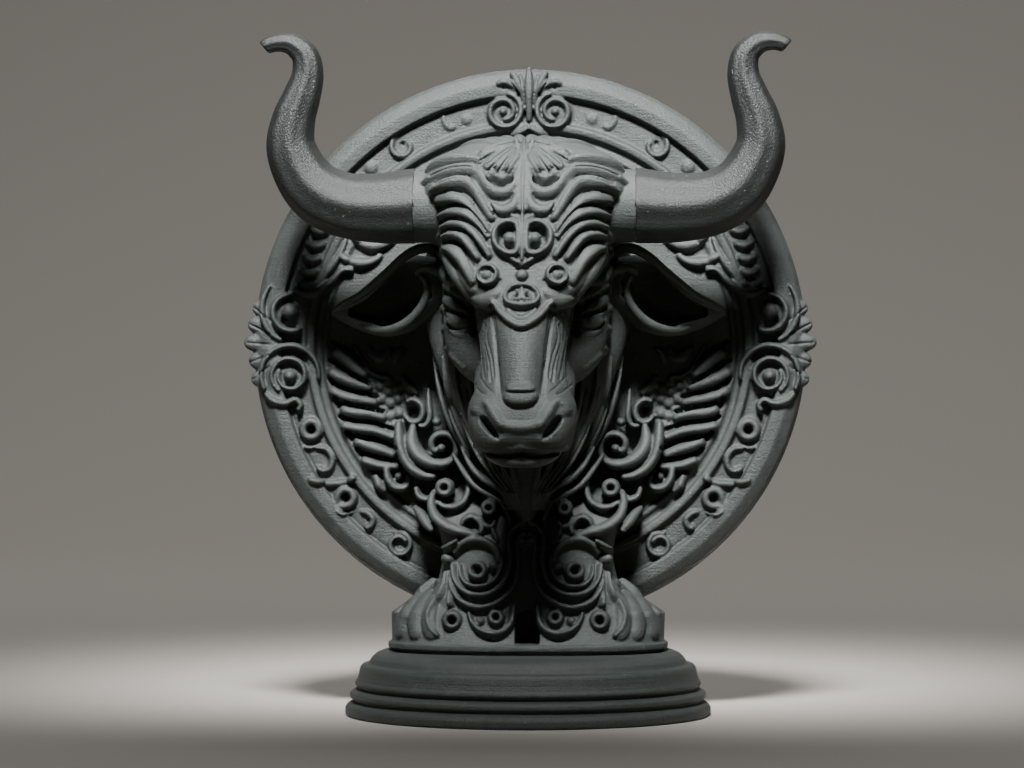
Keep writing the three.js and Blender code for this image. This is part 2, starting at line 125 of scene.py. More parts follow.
def loft(rings, closed=False):
    """A closed wall through rings of points, with its two ends capped unless it closes on itself."""
    count, sides = rings.shape[:2]
    rows = np.arange(count if closed else count - 1)[:, None] * sides
    here = rows + np.arange(sides)
    beside = rows + (np.arange(sides) + 1) % sides
    across, above = ((corner + sides) % (sides * count) for corner in (beside, here))
    faces = np.stack([here, beside, across, above], axis=-1).reshape(-1, 4).tolist()
    verts = rings.reshape(-1, 3)
    if not closed:
        verts = np.concatenate([verts, [rings[0].mean(0)], [rings[-1].mean(0)]])
        first, last = len(verts) - 2, (count - 1) * sides
        for side in range(sides):
            following = (side + 1) % sides
            faces.append([following, side, first])
            faces.append([last + side, last + following, first + 1])
    return outward(verts, faces)


def outward(verts, faces):
    """The solid with its faces pointing out."""
    corners = verts[[face[:3] for face in faces]]
    volume = np.einsum("ij,ij->", corners[:, 0], np.cross(corners[:, 1], corners[:, 2]))
    quads = [face for face in faces if len(face) == 4]
    if quads:
        second = verts[[[face[0], face[2], face[3]] for face in quads]]
        volume += np.einsum("ij,ij->", second[:, 0], np.cross(second[:, 1], second[:, 2]))
    return verts, faces if volume > 0 else [face[::-1] for face in faces]


def levels(rows, sides=96, steps=72, smooth=True):
    """A form built of level sections. Each row is height, half width, front, back and squareness."""
    places = np.linspace(0, len(rows) - 1, steps + 1)
    height, half, front, back, square = read_rows(rows, places, smooth).T[..., None]
    angle = np.linspace(0, 2 * np.pi, sides, endpoint=False)[None, :]
    across = half * np.sign(np.sin(angle)) * np.abs(np.sin(angle)) ** (2 / square)
    reach = (back - front) / 2 * np.sign(np.cos(angle)) * np.abs(np.cos(angle)) ** (2 / square)
    depth = (front + back) / 2 + reach
    return loft(np.stack([across, depth, height + 0 * across], axis=-1))


def turned(profile, sides, axis="z", centre=(0, 0, 0)):
    """A turned form. The profile is radius and place along the axis, from the axis and back to it."""
    profile = np.asarray(profile, float)
    angle = np.linspace(0, 2 * np.pi, sides, endpoint=False)[:, None]
    radius, along = profile[1:-1, 0][None, :], profile[1:-1, 1][None, :]
    first, second = radius * np.cos(angle), radius * np.sin(angle)
    along = along + 0 * first
    rings = np.stack([first, second, along] if axis == "z" else [first, along, second], axis=-1)
    verts, faces = loft(np.swapaxes(rings, 0, 1))
    return verts + np.asarray(centre), faces


def rounded(profile, radius=0.35, steps=3):
    """The profile with its corners eased by an arc of points."""
    points = np.asarray(profile, float)
    made = [points[0]]
    for before, corner, after in zip(points[:-2], points[1:-1], points[2:]):
        back, on = before - corner, after - corner
        reach = min(radius, 0.45 * np.linalg.norm(back), 0.45 * np.linalg.norm(on))
        start = corner + back / np.linalg.norm(back) * reach
        end = corner + on / np.linalg.norm(on) * reach
        for part in np.linspace(0, 1, steps + 1):
            made.append((1 - part) ** 2 * start + 2 * part * (1 - part) * corner + part**2 * end)
    made.append(points[-1])
    return made


def swept(rows, side, sides, steps, flute=0.0):
    """A horn or a like form, from rows of reach, height, depth and radius, square to its own line."""
    line = smooth_line(rows, 0.2)
    pick = np.linspace(0, len(line) - 1, steps + 1)
    line = read_rows(line, pick, False)
    heading = unit(np.gradient(line[:, [0, 2, 1]] * [1, 0, 1], axis=0))
    heading[0] = (1, 0, 0)
    upward = np.stack([-heading[:, 2], 0 * heading[:, 0], heading[:, 0]], axis=1)
    angle = np.linspace(0, 2 * np.pi, sides, endpoint=False)
    radius = line[:, 3][:, None] * (1 + flute * np.cos(FACETS * angle)[None, :])
    centre = line[:, [0, 2, 1]][:, None, :]
    rings = centre + upward[:, None, :] * (radius * np.cos(angle))[..., None]
    rings = rings + np.array([0, 1, 0]) * (radius * np.sin(angle))[..., None]
    rings[..., 0] *= side
    return loft(rings)


def ball(centre, radii, sides=24):
    """A closed ball with its own half sizes across, in depth and in height."""
    polar = np.linspace(0.08, np.pi - 0.08, sides // 2)[:, None]
    angle = np.linspace(0, 2 * np.pi, sides, endpoint=False)[None, :]
    around = np.sin(polar)
    shell = np.stack([around * np.cos(angle), around * np.sin(angle), np.cos(polar) + 0 * angle], axis=-1)
    return loft(shell * np.asarray(radii) + np.asarray(centre))


def rod(line, widths):
    """A round rod along a free line of points, one width for each point."""
    fine = smooth_line(np.column_stack([np.asarray(line, float), np.asarray(widths, float)]), 0.4)
    points, radius = fine[:, :3], fine[:, 3] / 2
    heading = unit(np.gradient(points, axis=0))
    beside = unit(np.cross(heading, [0, 1, 0]))
    upward = np.cross(beside, heading)
    angle = np.linspace(0, 2 * np.pi, ROD_SIDES, endpoint=False)
    rings = points[:, None, :] + beside[:, None, :] * (radius[:, None] * np.cos(angle))[..., None]
    return loft(rings + upward[:, None, :] * (radius[:, None] * np.sin(angle))[..., None])


def mirrored(points, side):
    """The points with their first number turned to one side."""
    points = np.array(points, float)
    points[:, 0] *= side
    return points


def gathered(solids):
    """Several solids as one list of vertices and one of faces."""
    verts, faces, start = [], [], 0
    for points, polygons in solids:
        verts.append(points)
        faces.extend([[index + start for index in face] for face in polygons])
        start += len(points)
    return np.concatenate(verts), faces


def loose_object(name, solids):
    verts, faces = gathered(solids)
    mesh = bpy.data.meshes.new(name)
    mesh.from_pydata(verts.tolist(), [], faces)
    made = bpy.data.objects.new(name, mesh)
    bpy.context.scene.collection.objects.link(made)
    return made


def applied(made):
    """The object's mesh with its modifiers applied. The object itself is removed."""
    seen = made.evaluated_get(bpy.context.evaluated_depsgraph_get())
    mesh = bpy.data.meshes.new_from_object(seen)
    used = made.data
    bpy.data.objects.remove(made)
    bpy.data.meshes.remove(used)
    return mesh


def cut(solid, cutters):
    """The solid with the cutters taken out of it."""
    made = loose_object("form", [solid])
    tools = [loose_object("cutter", [cutter]) for cutter in cutters]
    for tool in tools:
        taken = made.modifiers.new("taken", "BOOLEAN")
        taken.operation = "DIFFERENCE"
        taken.solver = "EXACT"
        taken.object = tool
    mesh = applied(made)
    for tool in tools:
        bpy.data.objects.remove(tool)
    verts = np.array([vertex.co for vertex in mesh.vertices], float)
    faces = [list(face.vertices) for face in mesh.polygons]
    bpy.data.meshes.remove(mesh)
    return verts, faces


# Carving: ridges, rings, bosses and grooves that lie on a form


LOOKS = {
    "front": (lambda a, b, side: (side * a, -FAR, b), lambda side: (0, 1, 0)),
    "back": (lambda a, b, side: (side * a, FAR, b), lambda side: (0, -1, 0)),
    "side": (lambda a, b, side: (side * FAR, a, b), lambda side: (-side, 0, 0)),
    "top": (lambda a, b, side: (side * a, b, FAR), lambda side: (0, 0, -1)),
}


class Carving:
    """Ornament laid on the forms that carry it, seen from one side, mirrored unless it is on the middle."""

    def __init__(self, carriers, look="front"):
        verts, faces = gathered(carriers)
        self.tree = BVHTree.FromPolygons(verts.tolist(), faces)
        self.look = look
        self.solids = []
        self.grooves = []

    def lay(self, line, side, depth=None):
        """Where each point of the line meets the form, and which way the form faces there."""
        origin, direction = LOOKS[self.look][0], Vector(LOOKS[self.look][1](side))
        fixed = None if depth is None else np.interp(
            np.linspace(0, 1, len(line)), np.linspace(0, 1, np.size(depth)), np.atleast_1d(depth)
        )
        points, normals = [], []
        for index, (a, b) in enumerate(line):
            start = Vector(origin(a, b, side))
            hit, normal, _, _ = self.tree.ray_cast(start, direction)
            if fixed is not None:
                hit, normal = Vector((start.x, fixed[index], start.z)), -direction
            elif hit is None:
                hit = start + direction * ((points[-1] - start).dot(direction) if points else FAR)
                normal = normals[-1] if normals else -direction
            points.append(hit)
            normals.append(normal if normal.dot(direction) < 0 else -normal)
        points, normals = np.array(points), np.array(normals)
        for _ in range(2):
            padded = np.concatenate([normals[:1], normals, normals[-1:]])
            normals = unit(padded[:-2] + 2 * padded[1:-1] + padded[2:])
        return points, normals

    def ridge(self, points, width, height, taper=(0.8, 1, 0.8), middle=False, closed=False, sink=0.9,
            depth=None, flat=1.0):
        """A ridge with round ends along a line of points. Its taper is read from one end to the other."""
        line = smooth_line(np.concatenate([points, points[:1]]) if closed else points, LINE_STEP)
        line = line[:-1] if closed else line
        share = np.linspace(0, len(taper) - 1, len(line))
        size = np.ones(len(line))
        if not closed:
            size = read_rows(np.array(taper)[:, None], share, len(taper) > 3)[:, 0]
            along = np.concatenate([[0], np.cumsum(np.linalg.norm(np.diff(line, axis=0), axis=1))])
            near = np.clip(np.minimum(along, along[-1] - along) / (0.5 * width * size), 0, 1)
            size = size * np.sqrt(np.clip(1 - (1 - near) ** 2, 0.03, 1))
        angle = np.linspace(0, 2 * np.pi, RIDGE_SIDES, endpoint=False)
        rise = np.sign(np.cos(angle)) * np.abs(np.cos(angle)) ** flat
        for side in (1,) if middle else SIDES:
            place, normal = self.lay(line, side, depth)
            heading = np.roll(place, -1, 0) - np.roll(place, 1, 0) if closed else np.gradient(place, axis=0)
            beside = unit(np.cross(unit(heading), normal))
            over = np.where(rise > 0, rise * height, rise * sink)
            spread = size[:, None] * width / 2 * np.sin(angle)
            lift = np.where(rise > 0, size[:, None] * over, over + 0 * size[:, None])
            rings = place[:, None, :] + beside[:, None, :] * spread[..., None]
            self.solids.append(loft(rings + normal[:, None, :] * lift[..., None], closed))

    def ring(self, centre, radius, width, height, **options):
        """A round ridge, by the radius of its own middle line."""
        self.ridge(spiral(centre, radius, radius, 0, 1)[:-1], width, height, closed=True, **options)

    def boss(self, centre, radius, height, middle=False, depth=None, tall=None):
        """A rounded boss."""
        for side in (1,) if middle else SIDES:
            place, normal = self.lay([centre], side, depth)
            turn = Vector((0, 0, 1)).rotation_difference(Vector(normal[0])).to_matrix()
            verts, faces = ball((0, 0, 0), (radius, tall or radius, height), 20)
            self.solids.append((verts @ np.array(turn).T + place[0], faces))

    def groove(self, points, width=0.5, depth=0.5, middle=False):
        """A line cut into the finished surface."""
        for side in (1,) if middle else SIDES:
            step = width * (GROOVE_STEP if depth > 0 else SWELL_STEP)
            line = smooth_line(points, step) if len(points) > 1 else np.array(points, float)
            self.grooves.append((self.look, side, line, width, depth))

    def swell(self, points, width, height, middle=False):
        """A soft rise along a line, lifted out of the finished surface."""
        self.groove(points, width, -height, middle)

    def pit(self, centre, width=0.8, depth=1.0, middle=False):
        """A round hole cut into the finished surface."""
        self.groove([centre], width, depth, middle)

    def eyelet(self, centre, outer, height, hole=0.35, **options):
        """A raised ring with a small hole in its middle, by its outer radius."""
        middle = outer * (1 + hole) / 2
        self.ring(centre, middle, outer * (1 - hole) * 1.15, height, **options)
        self.pit(centre, outer * hole * 0.8, height * 1.1)


# Head


SKULL = [
    (68.5, 6, -20, -6, 2), (72, 12.4, -22, -4, 2.2), (77, 16.4, -23, 0, 2.4), (84, 17.6, -23.4, 4, 2.5),
    (92, 17.6, -23.6, 6, 2.5), (100, 17.6, -24, 6, 2.4), (105, 16, -22, 6, 2.2),
]
FOREHEAD = [
    (84.4, 4.6, -35.4, -28, 2), (87, 8.6, -35.6, -24, 2), (90.5, 12.6, -34.8, -19, 2.1),
    (94.5, 15.8, -33.8, -13, 2.3), (100, 17.5, -32.6, -6, 2.6), (105, 18.2, -31.4, -2, 2.7),
    (108.6, 19.2, -30.6, 0, 2.8), (110.2, 21.4, -30, 1, 2.8), (113, 22.2, -28.6, 2, 2.7),
    (118, 19.4, -24.4, 0, 2.5), (121.2, 12.4, -21, -4, 2.3), (122.5, 3.6, -17.6, -8, 2),
]
SNOUT = [
    (57, 8.8, -39.8, -24, 2.8), (57.8, 9.8, -41.4, -23, 2.8), (60, 10.6, -42.8, -22, 2.7),
    (63, 11.1, -43.2, -22, 2.6), (66.4, 11.1, -42.6, -20, 2.4), (69.6, 9.9, -40.9, -18, 2.2),
    (73, 8.9, -39.2, -16, 2.1), (79, 9.1, -37, -14, 2), (86, 10.4, -34.4, -12, 2), (92, 11, -32, -12, 2),
]
JAW = [
    (53.7, 3.4, -38, -30, 2.6), (54.4, 5.2, -39.2, -26, 2.6), (55.6, 7.2, -39.9, -22, 2.6),
    (57, 8.2, -39.2, -20, 2.6), (60, 9, -37.6, -16, 2.4), (66, 10, -34, -11, 2.2),
    (71, 10.6, -30.4, -8, 2.2), (76, 9.6, -26, -8, 2.2), (80, 7, -22, -8, 2.2),
]
NOSE_PANEL = [
    (66, 1.2, -42.6, -38, 2.2), (67, 3, -43.3, -36, 2), (69, 4.1, -43.2, -34.4, 1.8),
    (72, 4.5, -42.2, -33.4, 1.75), (76, 4.8, -41, -32.4, 1.75), (81, 5.3, -39.5, -30.6, 1.75),
    (86, 6.2, -37.5, -28.4, 1.8), (89, 6.6, -35.8, -28, 2),
]

NOSE_LIP = [
    (66.2, 1.7, -42.7, -38, 2.4), (66.5, 2.5, -43.5, -38, 2.6), (67, 3.1, -43.9, -38, 2.8),
    (67.6, 3.5, -43.95, -38, 3), (68.3, 3.65, -43.8, -38, 3), (68.9, 3.5, -43.6, -38, 3),
    (69.2, 3.1, -43.2, -38, 3),
]
NOSE_BAR = [
    (69.2, 2.7, -43.3, -38, 3), (69.4, 3, -44, -38, 3), (69.8, 3.1, -44.1, -38, 3),
    (70.3, 3, -43.6, -38, 3), (70.8, 2.6, -42.5, -38, 3),
]


def nostril(side):
    """The slanted hole of one nostril, wider at its outer end."""
    verts, faces = ball((0, 0, 0), (1.05, 3.6, 3.45), 24)
    verts[:, 0] *= 1 + 0.09 * verts[:, 2]
    turn = np.array(Matrix.Rotation(math.radians(40 * side), 3, "Y"))
    return verts @ turn.T + (6.5 * side, -42.6, 62.0), faces


def ear_leaf(rows, side):
    """A leaf form from rows of reach, height, half height, depth and half thickness."""
    reach, height, tall, depth, thick = read_rows(rows, np.linspace(0, len(rows) - 1, 45)).T[..., None]
    angle = np.linspace(0, 2 * np.pi, 40, endpoint=False)[None, :]
    place = [side * reach + 0 * angle, depth + thick * np.sin(angle), height + tall * np.cos(angle)]
    return loft(np.stack(place, axis=-1))


def ear(side):
    """A hollow ear with a rolled lower rim that ends in a curl, and a thinner rim above."""
    outside = [
        (13, 92, 4.6, -8, 3.4), (19.5, 91.6, 6.2, -9, 5), (25, 90, 8, -9, 5.6), (31, 87.6, 6.6, -7.6, 4.6),
        (37, 86.2, 3.6, -6, 3), (42.4, 86.2, 0.7, -5, 0.9),
    ]
    inside = [
        (20, 91.2, 1.6, -13, 4.4), (22.6, 91, 5, -14.4, 8.6), (26.4, 89.8, 6.6, -14, 9.6),
        (30.4, 87.7, 4.9, -12.6, 8), (34, 86.7, 2.7, -10.6, 5.4), (38.4, 86.2, 0.8, -8, 2),
    ]
    lower = [(37, -7.6, 83.9), (33.4, -9.8, 82.4), (29.8, -11.6, 82.3), (26.6, -12.8, 83.3),
        (24, -13.5, 85.3), (22.2, -13.8, 87.8), (21.3, -13.7, 90.4), (21.4, -13.5, 92.4),
        (22.5, -13.6, 93.7)]
    curl = [(15.6, -12, 92.4), (18.2, -13.4, 94.6), (20.8, -14.2, 95.5), (22.8, -14.4, 94.9),
        (23.3, -14.2, 93.8)]
    upper = [(18.2, -11, 98), (20.4, -12, 99.6), (23.2, -12.8, 99.3), (26.2, -12.8, 97.6),
        (29.2, -12.2, 95), (32.6, -11.2, 92.2), (36, -9.8, 89.7), (39.4, -8, 88.1), (42, -6, 86.6)]
    rims = [
        rod(mirrored(lower, side), (0.9, 1.4, 2, 2.3, 2.1, 1.8, 1.6, 1.5, 1.3)),
        rod(mirrored(curl, side), (1.6, 1.9, 1.8, 1.6, 1.1)),
        rod(mirrored(upper, side), (2, 2.2, 2.2, 2, 1.9, 1.8, 1.6, 1.4, 0.8)),
    ]
    pieces = [cut(ear_leaf(outside, side), [ear_leaf(inside, side)]), *rims]
    for verts, _ in pieces:
        verts[:, 1] += 5.5 - 0.3 * (verts[:, 2] - 90)
    return pieces


def horn_stub(side):
    """The round stub that a horn is plugged on."""
    end = HORN_SEAM - HORN_GAP
    rows = [(14, HORN_HEIGHT, HORN_DEPTH, HORN_RADIUS), (end, HORN_HEIGHT, HORN_DEPTH, HORN_RADIUS)]
    return swept(rows, side, 64, 8)


def carve_forehead(carriers):
    """Waved locks, the forelock, the heart of two rings and the small rings of the brow."""
    art = Carving(carriers)
    waves = [
        (2.5, [(20.8, 115), (19.4, 116), (17.2, 116.9), (14, 117.5), (10.6, 117.4), (8.4, 116.9)]),
        (2.9, [(21.9, 110.7), (21, 112.6), (18.6, 114), (15.6, 114.9), (13, 115.2), (10.4, 115),
            (8.6, 113.5), (7.1, 111.5), (5.4, 110.2), (3.5, 110.3), (2, 111.6), (1.2, 113.8), (0.9, 116.4)]),
        (2.8, [(19.8, 110.8), (17.4, 112), (13.4, 112.6), (10.8, 111.9), (9.2, 110), (7.9, 107.6),
            (6.7, 105.6), (5.8, 104.4)]),
        (2.8,
            [(18.6, 109), (15, 109.5), (12.4, 108.8), (10.6, 107.1), (9, 105), (7.6, 103.2), (6.8, 101.6)]),
        (2.4, [(18, 105.8), (14.4, 106.4), (11.8, 105.9), (9.8, 104.5), (8.2, 102.7), (7, 100.6)]),
        (2.3, [(17.6, 103.4), (14.4, 103.9), (12, 103.5), (10.2, 102.1), (8.6, 100.2), (7.3, 98.2),
            (6.4, 96.6)]),
        (2.1, [(17.2, 101.4), (14.4, 101.7), (12.2, 101), (10.7, 99.3), (9.5, 97.4), (8.7, 96.2)]),
        (2.8, [(16.9, 99.2), (14.6, 98.5), (12.7, 96.9), (11.4, 94.9), (10.5, 92.9), (9.8, 91.2)]),
    ]
    for width, points in waves:
        art.ridge(points, width * 1.12, 1.9, (0.35, 0.9, 1, 0.9, 0.6), flat=1.5)
    art.ridge([(16.8, 97.6), (15.2, 94.8), (13.2, 91.8), (11.2, 89.2), (9.4, 87.8), (7.6, 87.7),
        (6.1, 88.8), (4.2, 90.2)], 3.4, 0.9, (0.7, 1, 1, 0.9, 0.6), flat=1.2)
    art.ridge([(13.4, 95), (11.6, 91.8), (9.6, 89.6)], 3, 0.7, (0.5, 1, 0.7), flat=1.2)
    art.ridge([(6.5, 108.3), (5.2, 106.9), (3.6, 106.6), (2.1, 107.3), (1.1, 109.2), (0.8, 112)], 2.5, 1.5,
        (0.6, 1, 0.9, 0.5))
    valleys = [
        [(19.8, 114.4), (16, 115.9), (12, 116.3), (9, 115.8), (7.5, 114.7), (6.2, 113.2)],
        [(18.6, 112.5), (16, 113.4), (13, 113.9), (11, 113.6), (9.4, 112.2), (7.9, 110), (6.9, 108),
            (5.7, 105.8)],
        [(19, 109.9), (16.4, 110.8), (13.4, 110.9), (11.4, 110), (10, 108.3), (8.6, 106.1), (7.2, 104.2)],
        [(18.2, 107.5), (14.4, 107.9), (12, 107.3), (10.2, 105.9), (8.6, 104), (7.2, 101.8)],
        [(17.6, 104.7), (14.4, 105.1), (12, 104.7), (10, 103.4), (8.4, 101.6), (7, 99.4)],
        [(17.2, 102.4), (14.4, 102.9), (12.2, 102.3), (10.5, 100.8), (9, 98.7), (7.8, 96.9)],
        [(17, 100.4), (14.4, 100.3), (12.6, 99.2), (11.2, 97.2), (10.2, 95.2)],
    ]
    for points in valleys:
        art.groove(points, 0.36, 0.75)

    # Forelock: hanks that fan from the parting, with fine strands, above two dark hollows
    hanks = [
        (3.3, 1.1, [(1.6, 121.4), (4.2, 120.5), (7, 119.3), (9.6, 118.2)]),
        (3.1, 1.4, [(1.5, 120.6), (3.9, 118.9), (6.2, 117), (8, 115.4)]),
        (3, 1.6, [(1.2, 119.6), (2.9, 117.6), (4.6, 116), (5.9, 115)]),
        (2.6, 1.8, [(0.9, 118.8), (1.9, 116.8), (2.9, 115.4), (3.8, 114.8)]),
    ]
    for width, height, points in hanks:
        art.ridge(points, width, height, (0.6, 1, 1, 0.8))
    for end in ((9.6, 119.2), (9, 117.4), (7.8, 116.4), (7.2, 115.2), (6.2, 115.6), (5.6, 114.4),
            (4.8, 115.2), (3.9, 114.2), (3.2, 115.2)):
        start = (0.5 + 0.1 * end[0], 121.8 - 0.06 * (122 - end[1]))
        bend = (start[0] * 0.45 + end[0] * 0.55 - 0.25, start[1] * 0.45 + end[1] * 0.55 + 0.35)
        art.groove([start, bend, end], 0.24, 0.55)
    art.groove([(6.6, 113.7), (5.4, 112.9), (4.2, 112.7), (3, 113.3)], 0.8, 3)
    for top, foot, low in ((0.9, 2.1, 109.6), (0.65, 1.35, 107.6), (0.45, 0.8, 106.2)):
        art.ridge([(top * 0.7, 120.4), (top, 114.6), (foot * 0.8, 111), (foot, low)], 0.8, 1.3,
            (0.6, 1, 0.9))
    art.ridge([(0, 122), (0, 114), (0, 105.6)], 0.9, 1.6, (0.7, 1, 0.9), middle=True)

    # Heart: two open rings with a ball in each, against a spine that ends in a small block
    loop = [(1.1, 103.5), (2.4, 104), (4.1, 103.7), (5.3, 102.6), (5.7, 101), (5.3, 99.4), (4.1, 98.1),
        (2.5, 97.4), (1.2, 97.8), (0.9, 99.6), (0.9, 101.8)]
    art.ridge(loop, 1.55, 2.1, closed=True)
    art.boss((2.6, 100.6), 1.5, 2.2)
    art.groove([(2, 102.4), (3.2, 102.5), (4.2, 101.4), (4.4, 100)], 0.55, 1.2)
    art.ridge([(0, 106), (0, 101), (0, 97), (0, 95.6)], 1.2, 2.1, (0.6, 1, 1, 0.8), middle=True)
    art.ridge([(2.6, 105.4), (1.2, 105), (0.4, 104.2)], 1.0, 1.3, (0.6, 1, 1))
    art.ridge([(3.6, 97.4), (2, 96.4), (0.4, 95.3)], 1.2, 1.4, (0.6, 1, 1))
    art.ridge([(0, 97.4), (0, 96), (0, 94.6)], 1.9, 1.1, (0.8, 1, 1.1), middle=True, flat=0.8)
    art.ridge([(-1.3, 93.2), (0, 93.2), (1.3, 93.2)], 2.3, 1.2, (1, 1, 1), middle=True, flat=0.5)
    art.groove([(-1.3, 94.5), (1.3, 94.5)], 0.2, 0.6, middle=True)
    art.ring((7, 93.3), 1.85, 1, 1.5)
    art.boss((7.1, 93.2), 1.4, 1.4)
    art.groove([(5.9, 93.8), (6.9, 94.6), (8, 94)], 0.3, 0.5)
    art.groove([(4.5, 92.2), (5.8, 90.9), (7.6, 90.7), (9, 91.7)], 0.35, 0.6)

    # Lower ring with the small bosses in it
    art.boss((0, 88.6), 2.6, 1.1, middle=True, tall=2)
    art.ridge([(2.9, 89.6), (1.8, 90.7), (0, 91), (-1.8, 90.7), (-2.9, 89.6), (-3.1, 88.1), (-2.1, 86.9),
        (0, 86.5), (2.1, 86.9), (3.1, 88.1)], 1.25, 1.8, closed=True, middle=True)
    art.ridge([(0, 90.6), (0, 89.6), (0, 88.8)], 1.1, 1.6, (1, 1, 0.8), middle=True)
    art.ridge([(2, 88), (1.1, 87.6), (0.2, 87.8)], 1.2, 1.7, (0.8, 1, 0.8))
    art.pit((1.35, 89.3), 0.62, 2.2)
    art.pit((0, 88.1), 0.3, 0.8, middle=True)
    return art


def carve_face(carriers):
    """Pointed bib, bridge, cheeks, muzzle and the layered lobes beside the eyes."""
    art = Carving(carriers)
    art.ridge([(-6.2, 88.2), (-5, 86.6), (-2.9, 84.2), (-1.2, 82.9), (0, 82.5), (1.2, 82.9), (2.9, 84.2),
        (5, 86.6), (6.2, 88.2)], 1.5, 1.3, (0.8, 1, 1, 0.8), middle=True, flat=0.85)
    art.ridge([(-3.2, 86.2), (-1.6, 84.7), (0, 84), (1.6, 84.7), (3.2, 86.2)], 1.7, 1.0, (0.7, 1, 0.7),
        middle=True)
    art.groove([(6.2, 86.6), (5.7, 82), (5.1, 76), (4.7, 71.6), (4.3, 69)], 0.55, 0.6)

    # Soft nostril brows and the lips
    art.swell([(9.2, 65.4), (8.6, 66.5), (7.4, 67.1), (6.4, 66.4), (5.7, 65.1), (4.6, 63.3), (3.8, 62.5)],
        0.85, 1.0)
    art.swell([(-3.8, 62.4), (0, 61.9), (3.8, 62.4)], 0.85, 0.65, middle=True)
    art.swell([(10, 64.6), (9.8, 62.6), (8.8, 60.6), (7.4, 59.2)], 0.9, 0.3)
    art.swell([(6.2, 59.2), (5.2, 58.9), (4.3, 59.3)], 0.8, 0.4)
    art.swell([(9.4, 58.1), (8, 57.5), (5, 57.2), (2, 57.2), (0.8, 57.5), (0, 57.8)], 0.5, 0.4)
    art.swell([(7.6, 56.4), (6.4, 55.4), (5, 54.7), (2.6, 54.4), (0, 54.4)], 0.5, 0.35)
    art.groove([(7.8, 56.7), (5, 56.1), (2, 56.1), (0, 56.5)], 0.34, 1.5)
    for top, foot, low, depth in ((7.1, 5.7, 72.2, 0.3), (7.7, 6.4, 71.4, 0.4), (8.3, 7.3, 73.4, 0.25),
            (8.9, 7.9, 72, 0.35), (9.5, 8.8, 74.2, 0.3)):
        art.groove([(top, low + 11.6), (top + 0.4, low + 8.4), (foot + 0.6, low + 4), (foot, low)], 0.34,
            depth)
    art.groove([(9, 72.4), (7.4, 70.4), (6.2, 69.4)], 0.26, 0.25)
    art.groove([(10, 70.6), (8.6, 69.2), (7.4, 68.7)], 0.26, 0.25)

    # Lobes stacked beside the eye, and the edge of the cheek
    for width, points in (
        (2.9, [(17.4, 92), (15.2, 90.6), (12.6, 88.7)]), (2.9, [(17.3, 88.8), (15.1, 87.4), (12.6, 86.2)]),
        (3.1, [(16.7, 85.2), (14.8, 84.4), (13, 84.2)]),
    ):
        art.ridge(points, width, 1.0, (0.8, 1, 0.8), sink=1.6, flat=0.8)
    art.groove([(17.3, 90.4), (15.2, 89.2), (12.6, 87.5)], 0.4, 0.8)
    art.groove([(17.2, 87), (15, 85.8), (12.4, 85.1)], 0.45, 1.1)
    art.groove([(16.9, 85.2), (16.3, 83.4), (14.8, 82.3), (12.6, 82.6)], 0.34, 0.6)
    art.swell([(16.4, 84), (15.8, 82.4), (14.6, 81.3), (13, 81)], 0.4, 0.3)
    art.swell([(15.8, 76.9), (14.4, 75.5), (13, 74.2)], 0.4, 0.35)
    art.groove([(11.6, 87), (11, 84.4), (10.8, 81.8)], 1.1, 2.4)
    return art


def carve_head_sides(carriers):
    """Plainer locks behind the brow, on the cheek and over the poll."""
    side = Carving(carriers, "side")
    for height, drop in ((103.5, 2.5), (100, 3.5), (96.4, 4.2)):
        side.ridge(
            [(-25, height), (-19, height - drop), (-11, height - drop * 0.4), (-3, height - drop * 1.4)],
            2.6, 1.0, (0.4, 1, 1, 0.3))
    for height, reach in ((89, -8), (84.6, -9), (80.2, -10)):
        side.ridge([(-13.6, height - 1.4), (-11.4, height - 2.4), (reach + 5, height - 2)], 2.6, 0.8,
            (0.4, 1, 0.3))
    top = Carving(carriers, "top")
    for spread in (1.6, 4.6, 7.8, 11.2):
        top.ridge([(spread * 0.3, -23), (spread * 0.8, -17), (spread * 1.2, -10), (spread * 1.5, -4)], 2.4,
            0.8, (0.4, 1, 1, 0.3))
    return [side, top]


def make_head():
    """Every solid and groove of the head."""
    snout = cut(levels(SNOUT), [nostril(side) for side in SIDES])
    skull, forehead, jaw, panel = levels(SKULL), levels(FOREHEAD, 128, 120), levels(JAW), levels(NOSE_PANEL)
    button = [levels(NOSE_LIP, 72, 30), levels(NOSE_BAR, 72, 20)]
    forms = [skull, forehead, snout, jaw, panel, *button, *(horn_stub(side) for side in SIDES)]
    carvings = [carve_forehead([forehead, levels(SNOUT), panel]),
        carve_face([levels(SNOUT), jaw, skull, panel, forehead]), *carve_head_sides([skull, forehead, jaw])]
    ears = [piece for side in SIDES for piece in ear(side)]
    solids = forms + ears + [solid for art in carvings for solid in art.solids]
    return solids, [groove for art in carvings for groove in art.grooves]


# Medallion


def disc():
    """An upright disc with a raised rim, a band, an inner ring ridge and a plain moulded back."""
    profile = [
        (0, FIELD_FRONT), (43.4, FIELD_FRONT), (43.9, 7.3), (44.6, 7.3), (45.1, FIELD_FRONT),
        (46.2, FIELD_FRONT), (46.7, 6.7), (48.1, 6.5), (48.7, FIELD_FRONT), (53.3, FIELD_FRONT),
        (53.9, 8.4), (54.3, 6.4), (56.9, 6.3), (59.2, 7.9), (DISC_RADIUS, 9.6), (DISC_RADIUS, 15),
        (58.4, DISC_BACK), (55, DISC_BACK), (54.2, 16.6), (44, 16.6), (43.2, DISC_BACK), (0, DISC_BACK),
    ]
    return turned(rounded(profile, 0.4), 300, "y", (0, 0, DISC_HEIGHT))


